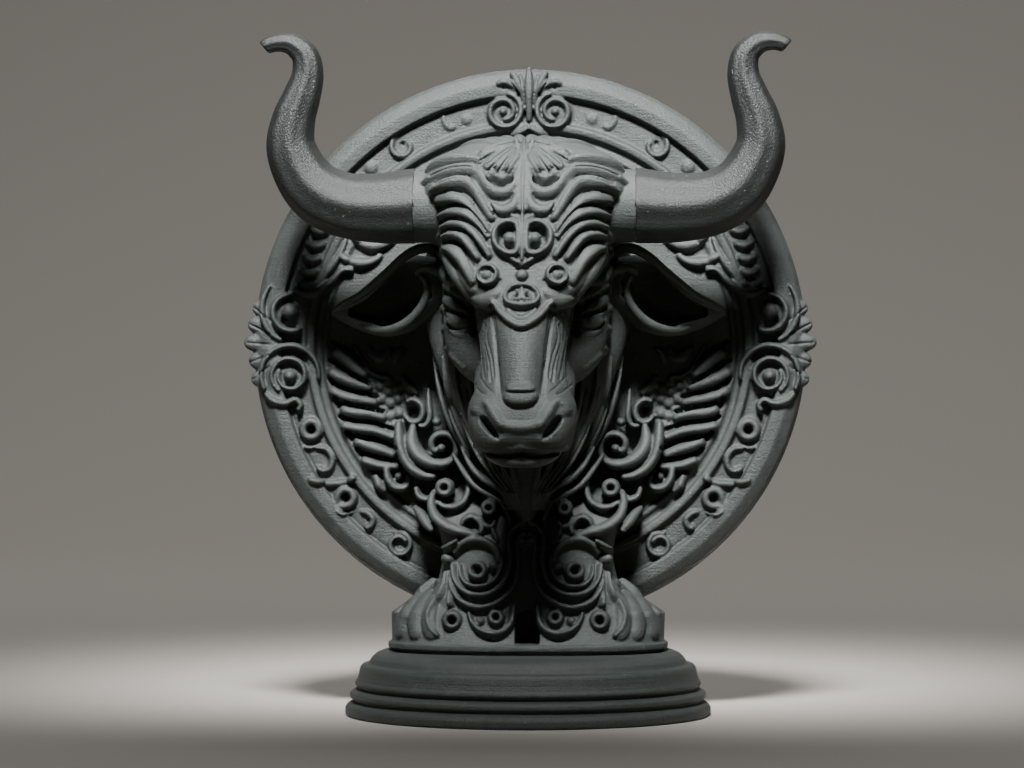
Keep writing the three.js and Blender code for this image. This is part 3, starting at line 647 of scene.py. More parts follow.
def carve_band(carriers):
    """The crown of the disc, the scrolls and crescents of its band, and the leaves at its sides."""
    art = Carving(carriers)

    # Crown: a volute that grows out of the rim, and a low fan of leaves over it
    art.boss((5.5, 129.8), 4, 1.2, depth=FIELD_FRONT)
    art.ridge(spiral((5.5, 129.8), 4.1, 1.7, 100, 1.5), 1.35, 1.7, (0.7, 1, 1, 0.8), depth=7.2, sink=2)
    art.boss((5.6, 129.8), 1.05, 2.4, depth=FIELD_FRONT)
    art.ridge([(0, 127.4), (0, 131), (0, 135.6), (0, 139.5)], 2, 1.3, (0.6, 0.8, 1, 0.5), middle=True,
        depth=(6.6, 5.8, 6.2), sink=2.4)
    art.ridge([(0.6, 130), (1.5, 134), (3.2, 137.4), (4, 138.4)], 1.7, 1, (0.6, 0.9, 1, 0.7),
        depth=(7, 6, 6.2), sink=2.4)
    art.ridge([(1.4, 133.4), (3.4, 135.6), (5.8, 136.2), (7, 135.4)], 1.5, 0.9, (0.5, 1, 1, 0.6), depth=6.2,
        sink=2)
    art.groove([(0.95, 131), (1.2, 134.4), (1.9, 137.8)], 0.3, 0.6)
    art.groove([(2.2, 133.4), (3.3, 135), (4.4, 136.8)], 0.3, 0.6)
    art.groove([(0, 133), (0, 138.6)], 0.24, 0.35, middle=True)
    art.pit((5.6, 134.9), 0.5, 0.5)
    art.ridge([(0, 126.4), (2.2, 125.8), (4.6, 125.2)], 1.4, 1.4, (1, 1, 0.6))

    # Small marks, scrolls and beads along the band
    art.ridge([(18.8, 129.6), (18.4, 127.6), (17.2, 126.3), (16, 127)], 1.4, 0.6, (0.5, 1, 0.9))
    art.boss((13.6, 128.2), 1.2, 0.5)
    art.ridge(spiral((27.6, 122.3), 2.5, 1.7, 70, -0.8), 1.3, 1.2, (0.6, 1, 1, 0.8))
    art.pit((27.5, 122.9), 0.6, 0.9)
    art.boss((34.4, 117.8), 1.5, 0.7)
    for reach, height in ((45.4, 104.2), (46.3, 101.2), (47, 98.2), (47.5, 95.2), (47.9, 92.4)):
        art.ridge([(reach + 2.3, height + 0.5), (reach, height - 0.5), (reach - 2.1, height + 0.3)], 1.9,
            1.5, (0.8, 1, 0.8))
        art.pit((reach + 0.4, height + 1.2), 0.5, 0.8)

    # The leaf scroll above the middle of each side
    art.boss((52, 86.6), 1.9, 2.4, depth=7.4)
    art.ridge(
        [(51.2, 90.4), (53.8, 89.6), (55.4, 87.4), (55.2, 84.8), (53.6, 82.9), (51.2, 82.3), (49.4, 82.9)],
        1.4, 2, (0.6, 1, 1, 0.8), depth=(6.6, 6.2, 6.8), sink=2.6)
    art.ridge([(56.2, 92.4), (57.8, 89), (57.8, 85.4), (56.2, 82), (53.6, 80.2)], 1.3, 1, (0.5, 1, 1, 0.7),
        depth=6.3, sink=2)
    art.ridge([(51.4, 91.6), (48.6, 90.3), (45.6, 90.9), (42.8, 93.2), (40.4, 95.6), (38, 95.4)], 1.9, 1.8,
        (0.5, 1, 1, 0.8, 0.7), depth=(7, 7.4), sink=2)
    art.ridge([(45.6, 92.6), (43, 96), (40.8, 99.6), (39.6, 102.6)], 1.4, 1.3, (0.5, 1, 1, 0.5), depth=7.6,
        sink=2)

    # The great volute below it
    art.boss((52, 72.6), 4.6, 1, depth=FIELD_FRONT)
    art.boss((51.9, 72.6), 1.5, 3, depth=7.6)
    art.ridge(spiral((51.9, 72.7), 4.2, 2.5, -60, 1.25), 1.25, 1.8, (0.8, 1, 1, 0.7), depth=7, sink=2.4)
    art.ridge([(45.6, 71.6), (46, 75), (48, 77.8), (51.4, 79.2), (55, 78.4), (57.4, 76), (58.2, 72.6),
        (57.4, 69.4)], 1.3, 1.4, (0.6, 1, 1, 0.7), depth=6.6, sink=2)
    art.ridge([(57.4, 69), (55.6, 67.2), (53, 66.6), (50.8, 67.4), (49.6, 66.2), (50.4, 64.8)], 1.6, 1.6,
        (0.7, 1, 1, 0.8, 0.7), depth=6.8, sink=2)

    # Side leaves, broad and low, whose tips just pass the rim
    for reach, height, wide, tall in ((58.6, 79.8, 3.7, 2.2), (58, 75.9, 3.2, 2.3), (57.8, 71.9, 2.9, 2.1),
                                      (58.2, 83.6, 3.2, 2.2), (57.6, 87.2, 2.8, 2)):
        art.boss((reach, height), wide, 1.7, depth=9, tall=tall)
    for foot, tip in (((56.4, 79.4), (61.4, 79.8)), ((56.6, 77), (60.8, 75.6)),
            ((56.4, 81.6), (60.8, 83.8)), ((56.4, 74.6), (60.2, 71.8)), ((56, 84.4), (60, 87.4))):
        art.groove([foot, tip], 0.3, 0.4)

    # Rings, commas and the divider of the lower band
    art.eyelet((47.4, 60.9), 2.6, 1.6)
    art.ridge([(49.8, 58), (47.8, 56.9), (45.6, 57.6)], 1, 0.9, (0.5, 1, 0.5))
    art.ridge([(46.6, 56.9), (44.2, 56.7), (42.8, 54.8), (43.2, 52.6), (44.9, 51.9), (46.1, 53)], 1.5, 1.4,
        (0.6, 1, 1, 0.9))
    art.ridge([(48, 50.2), (44.4, 49.2), (40.4, 49.4), (37.6, 50.8)], 1.6, 1.2, (0.9, 1, 1, 0.9))
    art.eyelet((39.9, 46.1), 2.6, 1.6)
    art.ridge([(42, 43.4), (40.2, 42.4), (38, 43.2)], 0.9, 0.8, (0.5, 1, 0.5))
    art.ridge([(36.9, 43), (35.4, 42.9), (34, 41.6), (34.4, 40), (35.8, 39.6)], 1.5, 1.3, (0.6, 1, 1, 0.9))
    art.ridge(spiral((28.2, 36), 2.7, 1.5, 60, 1.3), 1.2, 1.5, (0.7, 1, 1, 0.8), depth=7.8, sink=1.4)
    return art


def carve_field(carriers):
    """Wing feathers, crescents by the ear and the acanthus scroll beside the neck."""
    art = Carving(carriers)
    feathers = [
        (2.8, [(42.8, 78), (40.2, 76.6), (37.8, 74.3), (35.2, 72.2)]),
        (2.7, [(43.8, 73.9), (41.4, 72.4), (38, 71), (34, 69.8)]),
        (2.6, [(43.4, 70), (41, 68.4), (37.6, 67.5), (32.6, 66.7)]),
        (2.6, [(41.2, 65.5), (38, 64.6), (34.6, 64.3), (30.8, 63.2)]),
        (2.3, [(41, 61.9), (37.6, 61.2), (33.4, 60.6), (28.8, 58.9)]),
        (2.6, [(38.2, 58.7), (35, 57.4), (32, 56.4), (28.8, 55.1)]),
        (2.1, [(36.6, 54.6), (33.4, 53.3), (30.4, 52.9), (27.8, 52.9)]),
    ]
    for width, points in feathers:
        art.ridge(points, width * 1.1, 2.9, (0.9, 1, 0.9, 0.7), depth=FIELD_FRONT, sink=1, flat=0.9)
    lines = [read_rows(points, np.linspace(0, 3, 8)) for _, points in feathers]
    for above, below in zip(lines[:-1], lines[1:]):
        art.groove((above + below) / 2, 0.42, 1.6)
    art.groove([(42.6, 80), (38, 77), (35.6, 74.8), (32.6, 73.2)], 0.5, 1.2)
    art.ridge([(38.2, 79.4), (36.6, 76.4), (34.8, 74), (32.4, 72.6), (30.2, 72.4)], 1.4, 1.6, (0.5, 1, 0.7))

    # Crescents above and below the ear
    art.ridge([(38.6, 103.9), (36.6, 101.5), (33.6, 100.7), (30.6, 101.6), (28.4, 103.6)], 2.9, 2,
        (0.5, 1, 0.5))
    art.ridge([(41.6, 99.4), (39.2, 97.6), (36, 97), (33.4, 97.8), (32, 99.2)], 2.6, 2, (0.5, 1, 0.5))
    art.ridge([(35.2, 79.2), (34.2, 77.2), (32.6, 76.4), (31, 77.2), (30.2, 79)], 2.6, 2.2, (0.5, 1, 0.5))
    art.ridge([(29.6, 75), (28.8, 76.9), (26.8, 78.6)], 2.2, 2, (0.8, 1, 0.4))

    # Scales between the feathers and the scroll
    scales = [(32.4, 70.4), (30.6, 69.3), (28.8, 70), (32, 67.6), (30.2, 66.6), (28.5, 67.6), (30.2, 63.8),
        (28.4, 64.4), (31.2, 61.9), (29.4, 61.8), (30.6, 71.4), (27, 70.6), (26.8, 68.4), (31.6, 65)]
    for centre in scales:
        art.boss(centre, 1.1, 0.9)
    art.ridge([(27.6, 72.8), (26.2, 70.4), (24, 68.4)], 2.1, 2.2, (0.5, 1, 0.6))
    art.ridge([(26.8, 66.8), (25, 67.4), (23.3, 66.2), (23, 64.2), (24, 62.7), (25.8, 62.7), (27, 64.2)],
        1.6, 2.4, (0.7, 1, 1, 0.7), depth=6.6, sink=3)
    art.pit((25.1, 65.2), 0.7, 1.4)
    art.ridge([(28.2, 63), (28, 58.6), (27, 55), (25.2, 52.6), (22.6, 51.1), (19.8, 50.8)], 2.4, 3,
        (0.6, 1, 1, 1, 0.7), depth=(5.6, 4.4, 3.4), sink=6, flat=0.9)
    art.ridge([(25, 62.2), (25.3, 58.4), (24, 55.6), (21.6, 54), (18.8, 53.5), (16.5, 54.4), (15.5, 56.4),
        (15.9, 58.6), (17.5, 60), (19.5, 59.9), (20.8, 58.5), (20.6, 56.8), (19.4, 56.2)], 2.6, 2.6,
        (0.5, 1.2, 1.3, 1, 0.65, 0.6, 0.6, 0.5), depth=(5.4, 4, 2.4, 1.4, 1.4), sink=7)
    art.boss((18.8, 57), 1, 2.4, depth=2.4)
    art.boss((19.9, 62.6), 1.05, 2.2, depth=4.4)
    art.ridge([(31, 53), (30.6, 50.4), (29.2, 48.6), (27.2, 48.3), (25.9, 49.6), (26.3, 51.4)], 1.9, 2.4,
        (0.7, 1, 1, 0.6), depth=6.6, sink=3)
    art.boss((28.3, 50.8), 1, 2)
    art.ridge([(33.8, 51.2), (32.4, 48.9), (30.8, 47.4)], 2.2, 2, (0.5, 1, 0.6))
    return art


def make_medallion():
    """Every solid and groove of the disc."""
    plate = disc()
    carvings = [carve_band([plate]), carve_field([plate])]
    solids = [plate] + [solid for art in carvings for solid in art.solids]
    return solids, [groove for art in carvings for groove in art.grooves]


# Stand: neck, stem, foot and base


FOOT = [
    (13, 29, -16, 16.5, 2.3), (14.3, 29, -16, 16.5, 2.3), (14.4, 30, -17, 17.5, 2.3),
    (15.6, 30, -17, 17.5, 2.3), (15.8, 29.2, -16.2, 16.5, 2.3), (21.8, 29.4, -13.4, 16.5, 2.3),
    (24.6, 25, -10.6, 15, 2.3), (28, 18, -6, 14, 2.3),
]
STEM = [
    (15, 25, -14.8, 12, 2.6), (20, 23, -14, 12, 2.6), (26, 20.2, -12.4, 12, 2.6),
    (33, 18.4, -10.6, 12, 2.6), (38, 18.8, -9, 12, 2.6), (42, 20, -6.6, 12, 2.6), (46, 17.6, -2.6, 12, 2.6),
    (50, 14, 0.6, 12, 2.6), (55, 11, 3, 12, 2.6), (62, 9, 5.4, 12, 2.6),
]
NECK = [
    (41.5, 2.5, -9.6, 9.5, 2), (46, 5.2, -11.5, 9.5, 2), (52, 8.4, -13, 9.5, 2), (60, 12.4, -14, 9.5, 2),
    (70, 17.6, -13, 9.5, 2), (82, 21.6, -11, 9.5, 2), (95, 22.4, -10, 9.5, 2), (106, 19.5, -10, 9.5, 2),
    (113, 14, -8, 9.5, 2), (117, 5, -2, 9.5, 2),
]


def base():
    """The turned base: a slab, a line, a torus, a band and a hollow moulding under the foot."""
    profile = [
        (0, 0), (38.7, 0), (39.2, 0.4), (39.2, 1.7), (38.7, 2.4), (37.6, 3.05), (37.4, 3.3), (37.6, 3.5),
        (38.25, 3.9), (38.15, 4.8), (37.3, 5.4), (36.3, 5.65), (36.3, 5.95), (36.9, 6.25), (37.15, 6.8),
        (36.9, 7.3), (36.65, 7.6), (36.3, 8.6), (36.05, 10), (35.7, 10.7), (35, 11), (34.3, 11),
        (34.0, 11.3), (33.6, 12.2), (32.6, 13.1), (31.2, 13.7), (30.2, 13.9), (29, 13.6), (0, 13.6),
    ]
    return turned(rounded(profile, 0.25, 2), 320)


def carve_stem(carriers):
    """Scrolls, drops and knobs of the stem, with the arch on its middle line."""
    art = Carving(carriers)
    cord = {"width": 1.4, "height": 2.1, "flat": 0.85, "sink": 1.6}

    # Great scroll: its eye, its upper arc with a ball, and three arcs that run up into the arch
    art.eyelet((10, 31), 2.1, 2.4, 0.36, sink=1.6)
    art.ridge([(15, 34.2), (13.5, 36.3), (11.4, 37.3), (9, 37.2), (6.8, 36), (5.8, 34.2), (6, 32.6)], 1.8,
        2.3, (0.8, 1, 1, 0.9), flat=0.85, sink=1.6)
    art.boss((6.7, 32), 1.2, 2.4)
    art.ridge([(13.9, 32.6), (13.5, 29.8), (12, 28.1), (9.8, 27.7), (7.6, 28.3), (6, 29.8), (5.1, 32.2),
        (5, 34.4)], 1.1, 1.9, (0.6, 1, 1, 0.7), flat=0.85, sink=1.6)
    art.ridge([(15.2, 32.6), (14.8, 29.4), (13.4, 27.2), (11.3, 26), (9, 25.9), (6.8, 26.6), (4.8, 28.4),
        (3.7, 31), (3.4, 34), (3.7, 36.6), (3.5, 38.6), (2, 40.2), (0, 40.6)], taper=(0.8, 1, 1, 0.9, 0.9),
        **cord)
    art.ridge([(15.9, 29.4), (15, 26.6), (13.4, 24.5), (10.9, 23.4), (8.3, 23.4), (5.6, 24.5), (3.2, 26.8),
        (2, 29.6), (1.7, 33), (1.9, 36), (1.5, 38), (0, 38.9)], taper=(0.8, 1, 1, 0.9, 0.8), **cord)
    art.boss((0.9, 37.4), 0.9, 1.6)

    # Lower scroll and the leg beside the recess
    art.eyelet((6.2, 21.2), 1.8, 1.9, 0.34, sink=1.6)
    art.boss((9.6, 20.6), 1, 1.4)
    art.ridge([(12, 22.6), (11.2, 20.2), (9.5, 18.5), (7, 17.7), (4.7, 18.2), (3.1, 19.8), (2.6, 22.2),
        (2.4, 24.4)], taper=(0.6, 1, 1, 0.9), **cord)

    # Knob, its drop and the stroke above it
    art.ridge([(17.3, 33.3), (16.2, 33.4), (15.1, 33.3)], 2.9, 2.6, (1, 1, 1), sink=2, flat=0.8)
    art.ridge([(15.9, 30.6), (15.8, 26.4), (15.7, 23)], 1.5, 2, (0.6, 0.8, 1.2), sink=1.6)
    art.eyelet((15.6, 20.9), 2.1, 2.1, 0.36, depth=-12.2, sink=3)
    art.ridge([(17, 31), (17.2, 28), (18, 25.6), (19.6, 23.6), (20.6, 21.4), (20, 18.9), (18.2, 17.2)], 1.5,
        1.7, (0.6, 1, 1, 0.7))
    art.ridge([(18.4, 35.8), (16.8, 36.4), (14.6, 37.8)], 1.1, 1.2, (0.5, 1, 0.6), depth=(-7.2, -9.8),
        sink=3)

    # Rolled leaf, crescent and ring scroll at the top, which stand free of the ground
    free = {"sink": 11, "flat": 0.8}
    art.eyelet((17.8, 48.6), 1.95, 2, 0.32, depth=-2.8, **free)
    art.ridge([(13, 51.6), (12.6, 48.6), (13.4, 46), (15.4, 44.6), (17.8, 44.6), (19.6, 45.8)], 1.5, 2,
        (0.6, 1, 1, 0.7), depth=(-1.6, -3.4, -3), **free)
    art.ridge(
        [(20.3, 47.8), (20.6, 45.2), (19.8, 42.8), (18, 41), (15.6, 39.9), (12.8, 39.2), (10.4, 38.6)], 2.3,
        2.2, (0.5, 0.8, 1, 1, 0.9, 0.6), depth=(-2.4, -5, -6.6, -7.6, -8.6), **free)
    art.ridge([(10, 38.8), (9.5, 40.2), (10.3, 41.8), (11.9, 42.6), (13.4, 41.8), (13.8, 40.4)], 1.4, 1.9,
        (0.9, 1, 1, 0.8), depth=(-8.4, -7, -7.4), sink=6)
    art.pit((12, 40.9), 0.6, 1.4)
    art.ridge([(24.2, 48.8), (23.6, 46.9), (22, 46), (20.6, 46.8), (20.2, 48.2)], 1.6, 2, (0.6, 1, 0.6),
        depth=0, **free)
    art.ridge([(24.6, 44.6), (23, 43), (21.4, 40.9), (20, 39.4)], 2, 2, (0.5, 1, 1, 0.5),
        depth=(-1, -4, -7), **free)

    # Rosette and curl between the leaf and the arch
    art.eyelet((8.1, 44.5), 1.7, 1.7, 0.32, depth=-7.6, sink=5)
    art.ridge([(10, 42.8), (9, 40.9), (7.4, 40.6), (6.6, 42)], 1.2, 1.6, (0.7, 1, 0.6), depth=-8, sink=4)
    art.ridge([(7.3, 40.8), (6.9, 38.8), (5.8, 37)], 1.2, 1.5, (0.7, 1, 0.6))
    return art


def carve_neck(carriers):
    """Strands that sweep down the neck and gather above the arch, and the collar's hooked ends."""
    art = Carving(carriers)
    outer = np.array([(21, 84), (20.4, 77), (19.2, 70), (17.4, 64), (14.8, 59), (11.6, 54.6), (8, 51.2),
        (4.8, 48), (3.2, 44)])
    inner = np.array([(3.4, 84), (3, 77), (2.6, 70), (2.2, 64), (1.9, 59), (1.6, 54.6), (1.3, 51.2),
        (1, 48), (0.7, 44)])
    for share in (0.12, 0.32, 0.52, 0.7, 0.86, 1):
        art.ridge((outer * share + inner * (1 - share))[1:], 1.6, 1.6, (0.3, 0.8, 1, 0.9, 0.55), sink=1.2)
    for share in (0.22, 0.42, 0.61, 0.78, 0.93):
        art.groove((outer * share + inner * (1 - share))[2:8], 0.3, 0.6)
    art.ridge([(16.4, 56), (13.4, 51.6), (10.8, 48.8), (8, 47.2), (5.6, 45.8), (4.2, 43.6), (3.5, 41.4)],
        1.4, 1.4, (0.6, 1, 1, 0.6), depth=(1, -4, -6.8, -8.6), sink=6)
    art.ridge([(14.4, 57.6), (12.2, 53.6), (9.4, 50.6), (6.6, 49), (4.4, 47.2), (3, 44.6)], 1.3, 1.4,
        (0.5, 1, 1, 0.6), depth=(-2, -6, -8.2, -9), sink=5)
    art.ridge([(21.8, 70), (21.6, 66.4), (21.4, 63.6), (22.4, 61.8), (24, 61.9)], 1.4, 1.4,
        (0.3, 0.8, 1, 0.9, 0.7), depth=(5, 4.4), sink=4)
    return art


def carve_foot(carriers):
    """Fans of broad leaves on the corners of the foot."""
    art = Carving(carriers)
    petals = [
        (3.4, [(17.6, 29), (19.4, 26), (20.6, 22.4), (20.4, 18.8), (19, 17)]),
        (3.6, [(18.6, 29), (21.6, 25), (23.4, 21.4), (23.6, 18.6), (22.6, 16.8)]),
        (3.6, [(19.6, 29), (23.8, 24.6), (26.2, 21), (26.8, 18.6), (26.4, 16.8)]),
    ]
    for width, points in petals:
        art.ridge(points, width, 1.1, (0.5, 0.8, 1, 1, 0.9))
    art.ridge([(20, 28), (24.8, 24.2), (28.6, 21.6)], 2.2, 0.8, (0.5, 1, 0.8))
    back = Carving(carriers, "back")
    for reach in (6, 14, 22):
        back.ridge([(reach * 0.8, 26), (reach, 21.4), (reach * 1.02, 16.8)], 4.6, 0.9, (0.6, 1, 0.8))
    return [art, back]


RECESS_MIDDLE = 0.4
RECESS_HALF = 2.6
RECESS_FLOOR = 15.9
RECESS_SPRING = 20.4


def make_stand():
    """Every solid and groove of the neck, stem and foot."""
    arch = turned([(0, -8), (RECESS_HALF, -8), (RECESS_HALF, 3), (0, 3)], 48, "y",
        (RECESS_MIDDLE, -10.4, RECESS_SPRING))
    corners = [(RECESS_MIDDLE + x, y, z) for x in (-RECESS_HALF, RECESS_HALF) for y in (-18.4, -7.4)
               for z in (RECESS_FLOOR, RECESS_SPRING)]
    walls = [[0, 1, 3, 2], [4, 6, 7, 5], [0, 4, 5, 1], [2, 3, 7, 6], [0, 2, 6, 4], [1, 5, 7, 3]]
    cutters = [arch, outward(np.array(corners, float), walls)]
    whole_stem, whole_foot, neck = levels(STEM), levels(FOOT, 128, 84, False), levels(NECK)
    carvings = [carve_stem([whole_stem, whole_foot]), carve_neck([neck, whole_stem]),
        *carve_foot([whole_foot, whole_stem])]
    forms = [cut(whole_stem, cutters), cut(whole_foot, cutters), neck]
    solids = forms + [solid for art in carvings for solid in art.solids]
    return solids, [groove for art in carvings for groove in art.grooves]


# Fusing, grooving and thinning


def vertex_array(mesh, field="co"):
    values = np.empty(len(mesh.vertices) * 3)
    mesh.vertices.foreach_get(field, values)
    return values.reshape(-1, 3)


def eased(mesh):
    """Evens out the steps that fusing leaves, without shrinking the form."""
    ends = np.empty(len(mesh.edges) * 2, np.int64)
    mesh.edges.foreach_get("vertices", ends)
    first, second = ends[0::2], ends[1::2]
    place = vertex_array(mesh)
    count = len(place)
    near = np.bincount(first, minlength=count) + np.bincount(second, minlength=count)
    for share in (PULL, PUSH) * EASING_PASSES:
        mean = np.empty_like(place)
        for axis in range(3):
            values = place[:, axis]
            total = np.bincount(first, values[second], count) + np.bincount(second, values[first], count)
            mean[:, axis] = total / np.maximum(near, 1)
        place = place + share * (mean - place)
    mesh.vertices.foreach_set("co", place.ravel())
    mesh.update()


def grooved(mesh, grooves):
    """Cuts each groove into the vertices that face it, or lifts them where its depth is negative."""
    place, normal = vertex_array(mesh), vertex_array(mesh, "normal")
    plane = {"front": (0, 2), "back": (0, 2), "side": (1, 2), "top": (0, 1)}
    sink = np.zeros(len(place))
    rise = np.zeros(len(place))
    for look, side, line, width, depth in grooves:
        axes = plane[look]
        direction = np.array(LOOKS[look][1](side), float)
        line = line.copy()
        if look != "side":
            line[:, 0] *= side
        margin = width * math.sqrt(FADE) + 0.1
        low, high = line.min(0) - margin, line.max(0) + margin
        seen = np.flatnonzero(
            (place[:, axes[0]] > low[0]) & (place[:, axes[0]] < high[0])
            & (place[:, axes[1]] > low[1]) & (place[:, axes[1]] < high[1]) & (normal @ direction < -0.15)
        )
        if not len(seen):
            continue
        at = place[seen][:, axes]
        gap = np.full(len(seen), np.inf)
        for point in line:
            gap = np.minimum(gap, ((at - point) ** 2).sum(1))
        share = np.clip(1 - gap / (FADE * width**2), 0, 1) ** (SHARP if depth > 0 else SOFT)
        if depth > 0:
            sink[seen] = np.maximum(sink[seen], depth * share)
        else:
            rise[seen] = np.maximum(rise[seen], -depth * share)
    mesh.vertices.foreach_set("co", (place + normal * (rise - sink)[:, None]).ravel())
    mesh.update()


def fused(name, solids, grooves, voxel, budget):
    """One closed mesh of the solids, as fine as the voxel, eased, grooved and thinned."""
    made = loose_object(name, solids)
    weld = made.modifiers.new("weld", "REMESH")
    weld.mode = "VOXEL"
    weld.voxel_size = voxel
    mesh = applied(made)
    eased(mesh)
    grooved(mesh, grooves)
    count = sum(len(face.vertices) - 2 for face in mesh.polygons)
    if count > budget:
        made = bpy.data.objects.new(name, mesh)
        bpy.context.scene.collection.objects.link(made)
        thin = made.modifiers.new("thin", "DECIMATE")
        thin.ratio = budget / count
        thin.use_collapse_triangulate = True
        mesh = applied(made)
    return mesh


def finished(name, mesh, material, nodes):
    """The mesh as a piece in metres, with its material, standing for its nodes."""
    mesh.transform(Matrix.Scale(MM, 4))
    mesh.name = name
    mesh.shade_smooth()
    mesh.materials.clear()
    mesh.materials.append(material)
    piece = bpy.data.objects.new(name, mesh)
    bpy.context.scene.collection.objects.link(piece)
    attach(piece, "root")
    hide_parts(*nodes)
    return piece


def add_turned(mesh, solid):
    """Adds a solid that needs no fusing to a mesh."""
    made = loose_object("turned", [solid])
    host = bpy.data.objects.new("host", mesh)
    bpy.context.scene.collection.objects.link(host)
    with bpy.context.temp_override(active_object=host, selected_editable_objects=[host, made]):
        bpy.ops.object.join()
    joined = host.data
    bpy.data.objects.remove(host)
    return joined


# Horns: rows of reach, height, depth and radius, with soft facets along them and a hooked tip


HORN_FLUTE = 0.026
HORN = [
    (HORN_SEAM - 0.28, HORN_HEIGHT, HORN_DEPTH, HORN_RADIUS - 0.15),
    (HORN_SEAM + 0.3, HORN_HEIGHT, HORN_DEPTH, HORN_RADIUS), (31, 107.9, -15.2, 7.2),
    (38.2, 108.6, -15.6, 6.7), (43.8, 111.2, -16, 6.3), (47.4, 115.6, -16.3, 5.7), (49.4, 121, -16.6, 5.1),
    (48.8, 126.4, -16.9, 4.5), (47.1, 131.2, -17.2, 3.9), (45.8, 135.8, -17.4, 3.3),
    (46.3, 139.8, -17.6, 2.85), (48.9, 142.2, -17.8, 2.3), (51.9, 142.6, -18, 1.85), (54.3, 142, -18, 1.65),
    (55, 141.6, -18, 1.3),
]


# Finishes


def link(tree, source, target):
    tree.links.new(source, target)


def add_node(tree, kind, values=None, **settings):
    """A node with its settings, and values set on its own sockets."""
    node = tree.nodes.new(kind)
    for field, value in settings.items():
        setattr(node, field, value)
    for socket, value in (values or {}).items():
        node.inputs[socket].default_value = value
    return node


def worked(tree, operation, *values, clamp=False):
    """A value worked out from others, each a number or the output of another node."""
    node = add_node(tree, "ShaderNodeMath", operation=operation, use_clamp=clamp)
    for socket, value in zip(node.inputs, values):
        if isinstance(value, float):
            socket.default_value = value
        else:
            link(tree, value, socket)
    return node.outputs[0]


def cloudy(tree, place, scale, detail, roughness):
    """Soft noise at a place."""
    noise = add_node(tree, "ShaderNodeTexNoise", {"Scale": scale, "Detail": detail, "Roughness": roughness})
    link(tree, place, noise.inputs["Vector"])
    return noise.outputs["Fac"]


def print_surface():
    """Group: colour, roughness and height of printed plastic, with layers, mottling and pale specks."""
    group = bpy.data.node_groups.new("Print Surface", "ShaderNodeTree")
    sockets = [
        ("Base", "NodeSocketColor", (0.08, 0.083, 0.081, 1)),
        ("Speck", "NodeSocketColor", (0.3, 0.31, 0.3, 1)),
        ("Mottle", "NodeSocketFloat", 0.25),
        ("Layer Strength", "NodeSocketFloat", 0.3),
        ("Speck Share", "NodeSocketFloat", 0.065),
        ("Dull", "NodeSocketFloat", 0.55),
    ]
    for name, kind, value in sockets:
        group.interface.new_socket(name, in_out="INPUT", socket_type=kind).default_value = value
    for name, kind in (("Color", "NodeSocketColor"), ("Roughness", "NodeSocketFloat"),
            ("Height", "NodeSocketFloat")):
        group.interface.new_socket(name, in_out="OUTPUT", socket_type=kind)
    given = add_node(group, "NodeGroupInput").outputs
    end = add_node(group, "NodeGroupOutput").inputs
    place = add_node(group, "ShaderNodeTexCoord").outputs["Object"]

    # Mottling: broad soft patches over finer ones
    fine = cloudy(group, place, 2400.0, 4.0, 0.65)
    both = worked(group, "ADD", cloudy(group, place, 420.0, 5.0, 0.65), fine)
    centred = worked(group, "SUBTRACT", both, 1.0)
    tinted = add_node(group, "ShaderNodeVectorMath", operation="SCALE")
    link(group, given["Base"], tinted.inputs[0])
    link(group, worked(group, "MULTIPLY_ADD", centred, given["Mottle"], 1.0), tinted.inputs["Scale"])

    # Specks: small pale spots, few and uneven
    limit = worked(group, "SUBTRACT", 0.8, given["Speck Share"])
    found = worked(group, "SUBTRACT", cloudy(group, place, 2200.0, 1.0, 0.5), limit)
    colour = add_node(group, "ShaderNodeMix", data_type="RGBA")
    link(group, worked(group, "MULTIPLY", found, 18.0, clamp=True), colour.inputs["Factor"])
    link(group, tinted.outputs[0], colour.inputs[6])
    link(group, given["Speck"], colour.inputs[7])
    link(group, colour.outputs[2], end["Color"])
    link(group, worked(group, "MULTIPLY_ADD", centred, 0.16, given["Dull"]), end["Roughness"])

    # Layers: fine level lines whose depth wanders, under the grain
    level = add_node(group, "ShaderNodeMapping", {"Scale": (45.0, 45.0, 2400.0)})
    link(group, place, level.inputs["Vector"])
    layers = worked(group, "MULTIPLY", cloudy(group, level.outputs[0], 1.0, 3.0, 0.55),
        given["Layer Strength"])
    link(group, worked(group, "ADD", fine, layers), end["Height"])
    return group


def print_material(name, finish, base, dull, layers):
    """Matte printed plastic, made once for each name."""
    if name in bpy.data.materials:
        return bpy.data.materials[name]
    group = bpy.data.node_groups.get("Print Surface") or print_surface()
    material = bpy.data.materials.new(name)
    material.use_nodes = True
    tree = material.node_tree
    shader = tree.nodes["Principled BSDF"]
    shader.inputs["Specular IOR Level"].default_value = 0.5
    surface = add_node(tree, "ShaderNodeGroup", node_tree=group)
    surface.inputs["Base"].default_value = (*base, 1)
    surface.inputs["Speck"].default_value = (*finish.speck_color, 1)
    surface.inputs["Mottle"].default_value = finish.mottle
    surface.inputs["Layer Strength"].default_value = layers
    surface.inputs["Dull"].default_value = dull
    bump = add_node(tree, "ShaderNodeBump", {"Strength": 0.5, "Distance": 0.00048})
    link(tree, surface.outputs["Color"], shader.inputs["Base Color"])
    link(tree, surface.outputs["Roughness"], shader.inputs["Roughness"])
    link(tree, surface.outputs["Height"], bump.inputs["Height"])
    link(tree, bump.outputs["Normal"], shader.inputs["Normal"])
    return material


# Settings, operators and panel


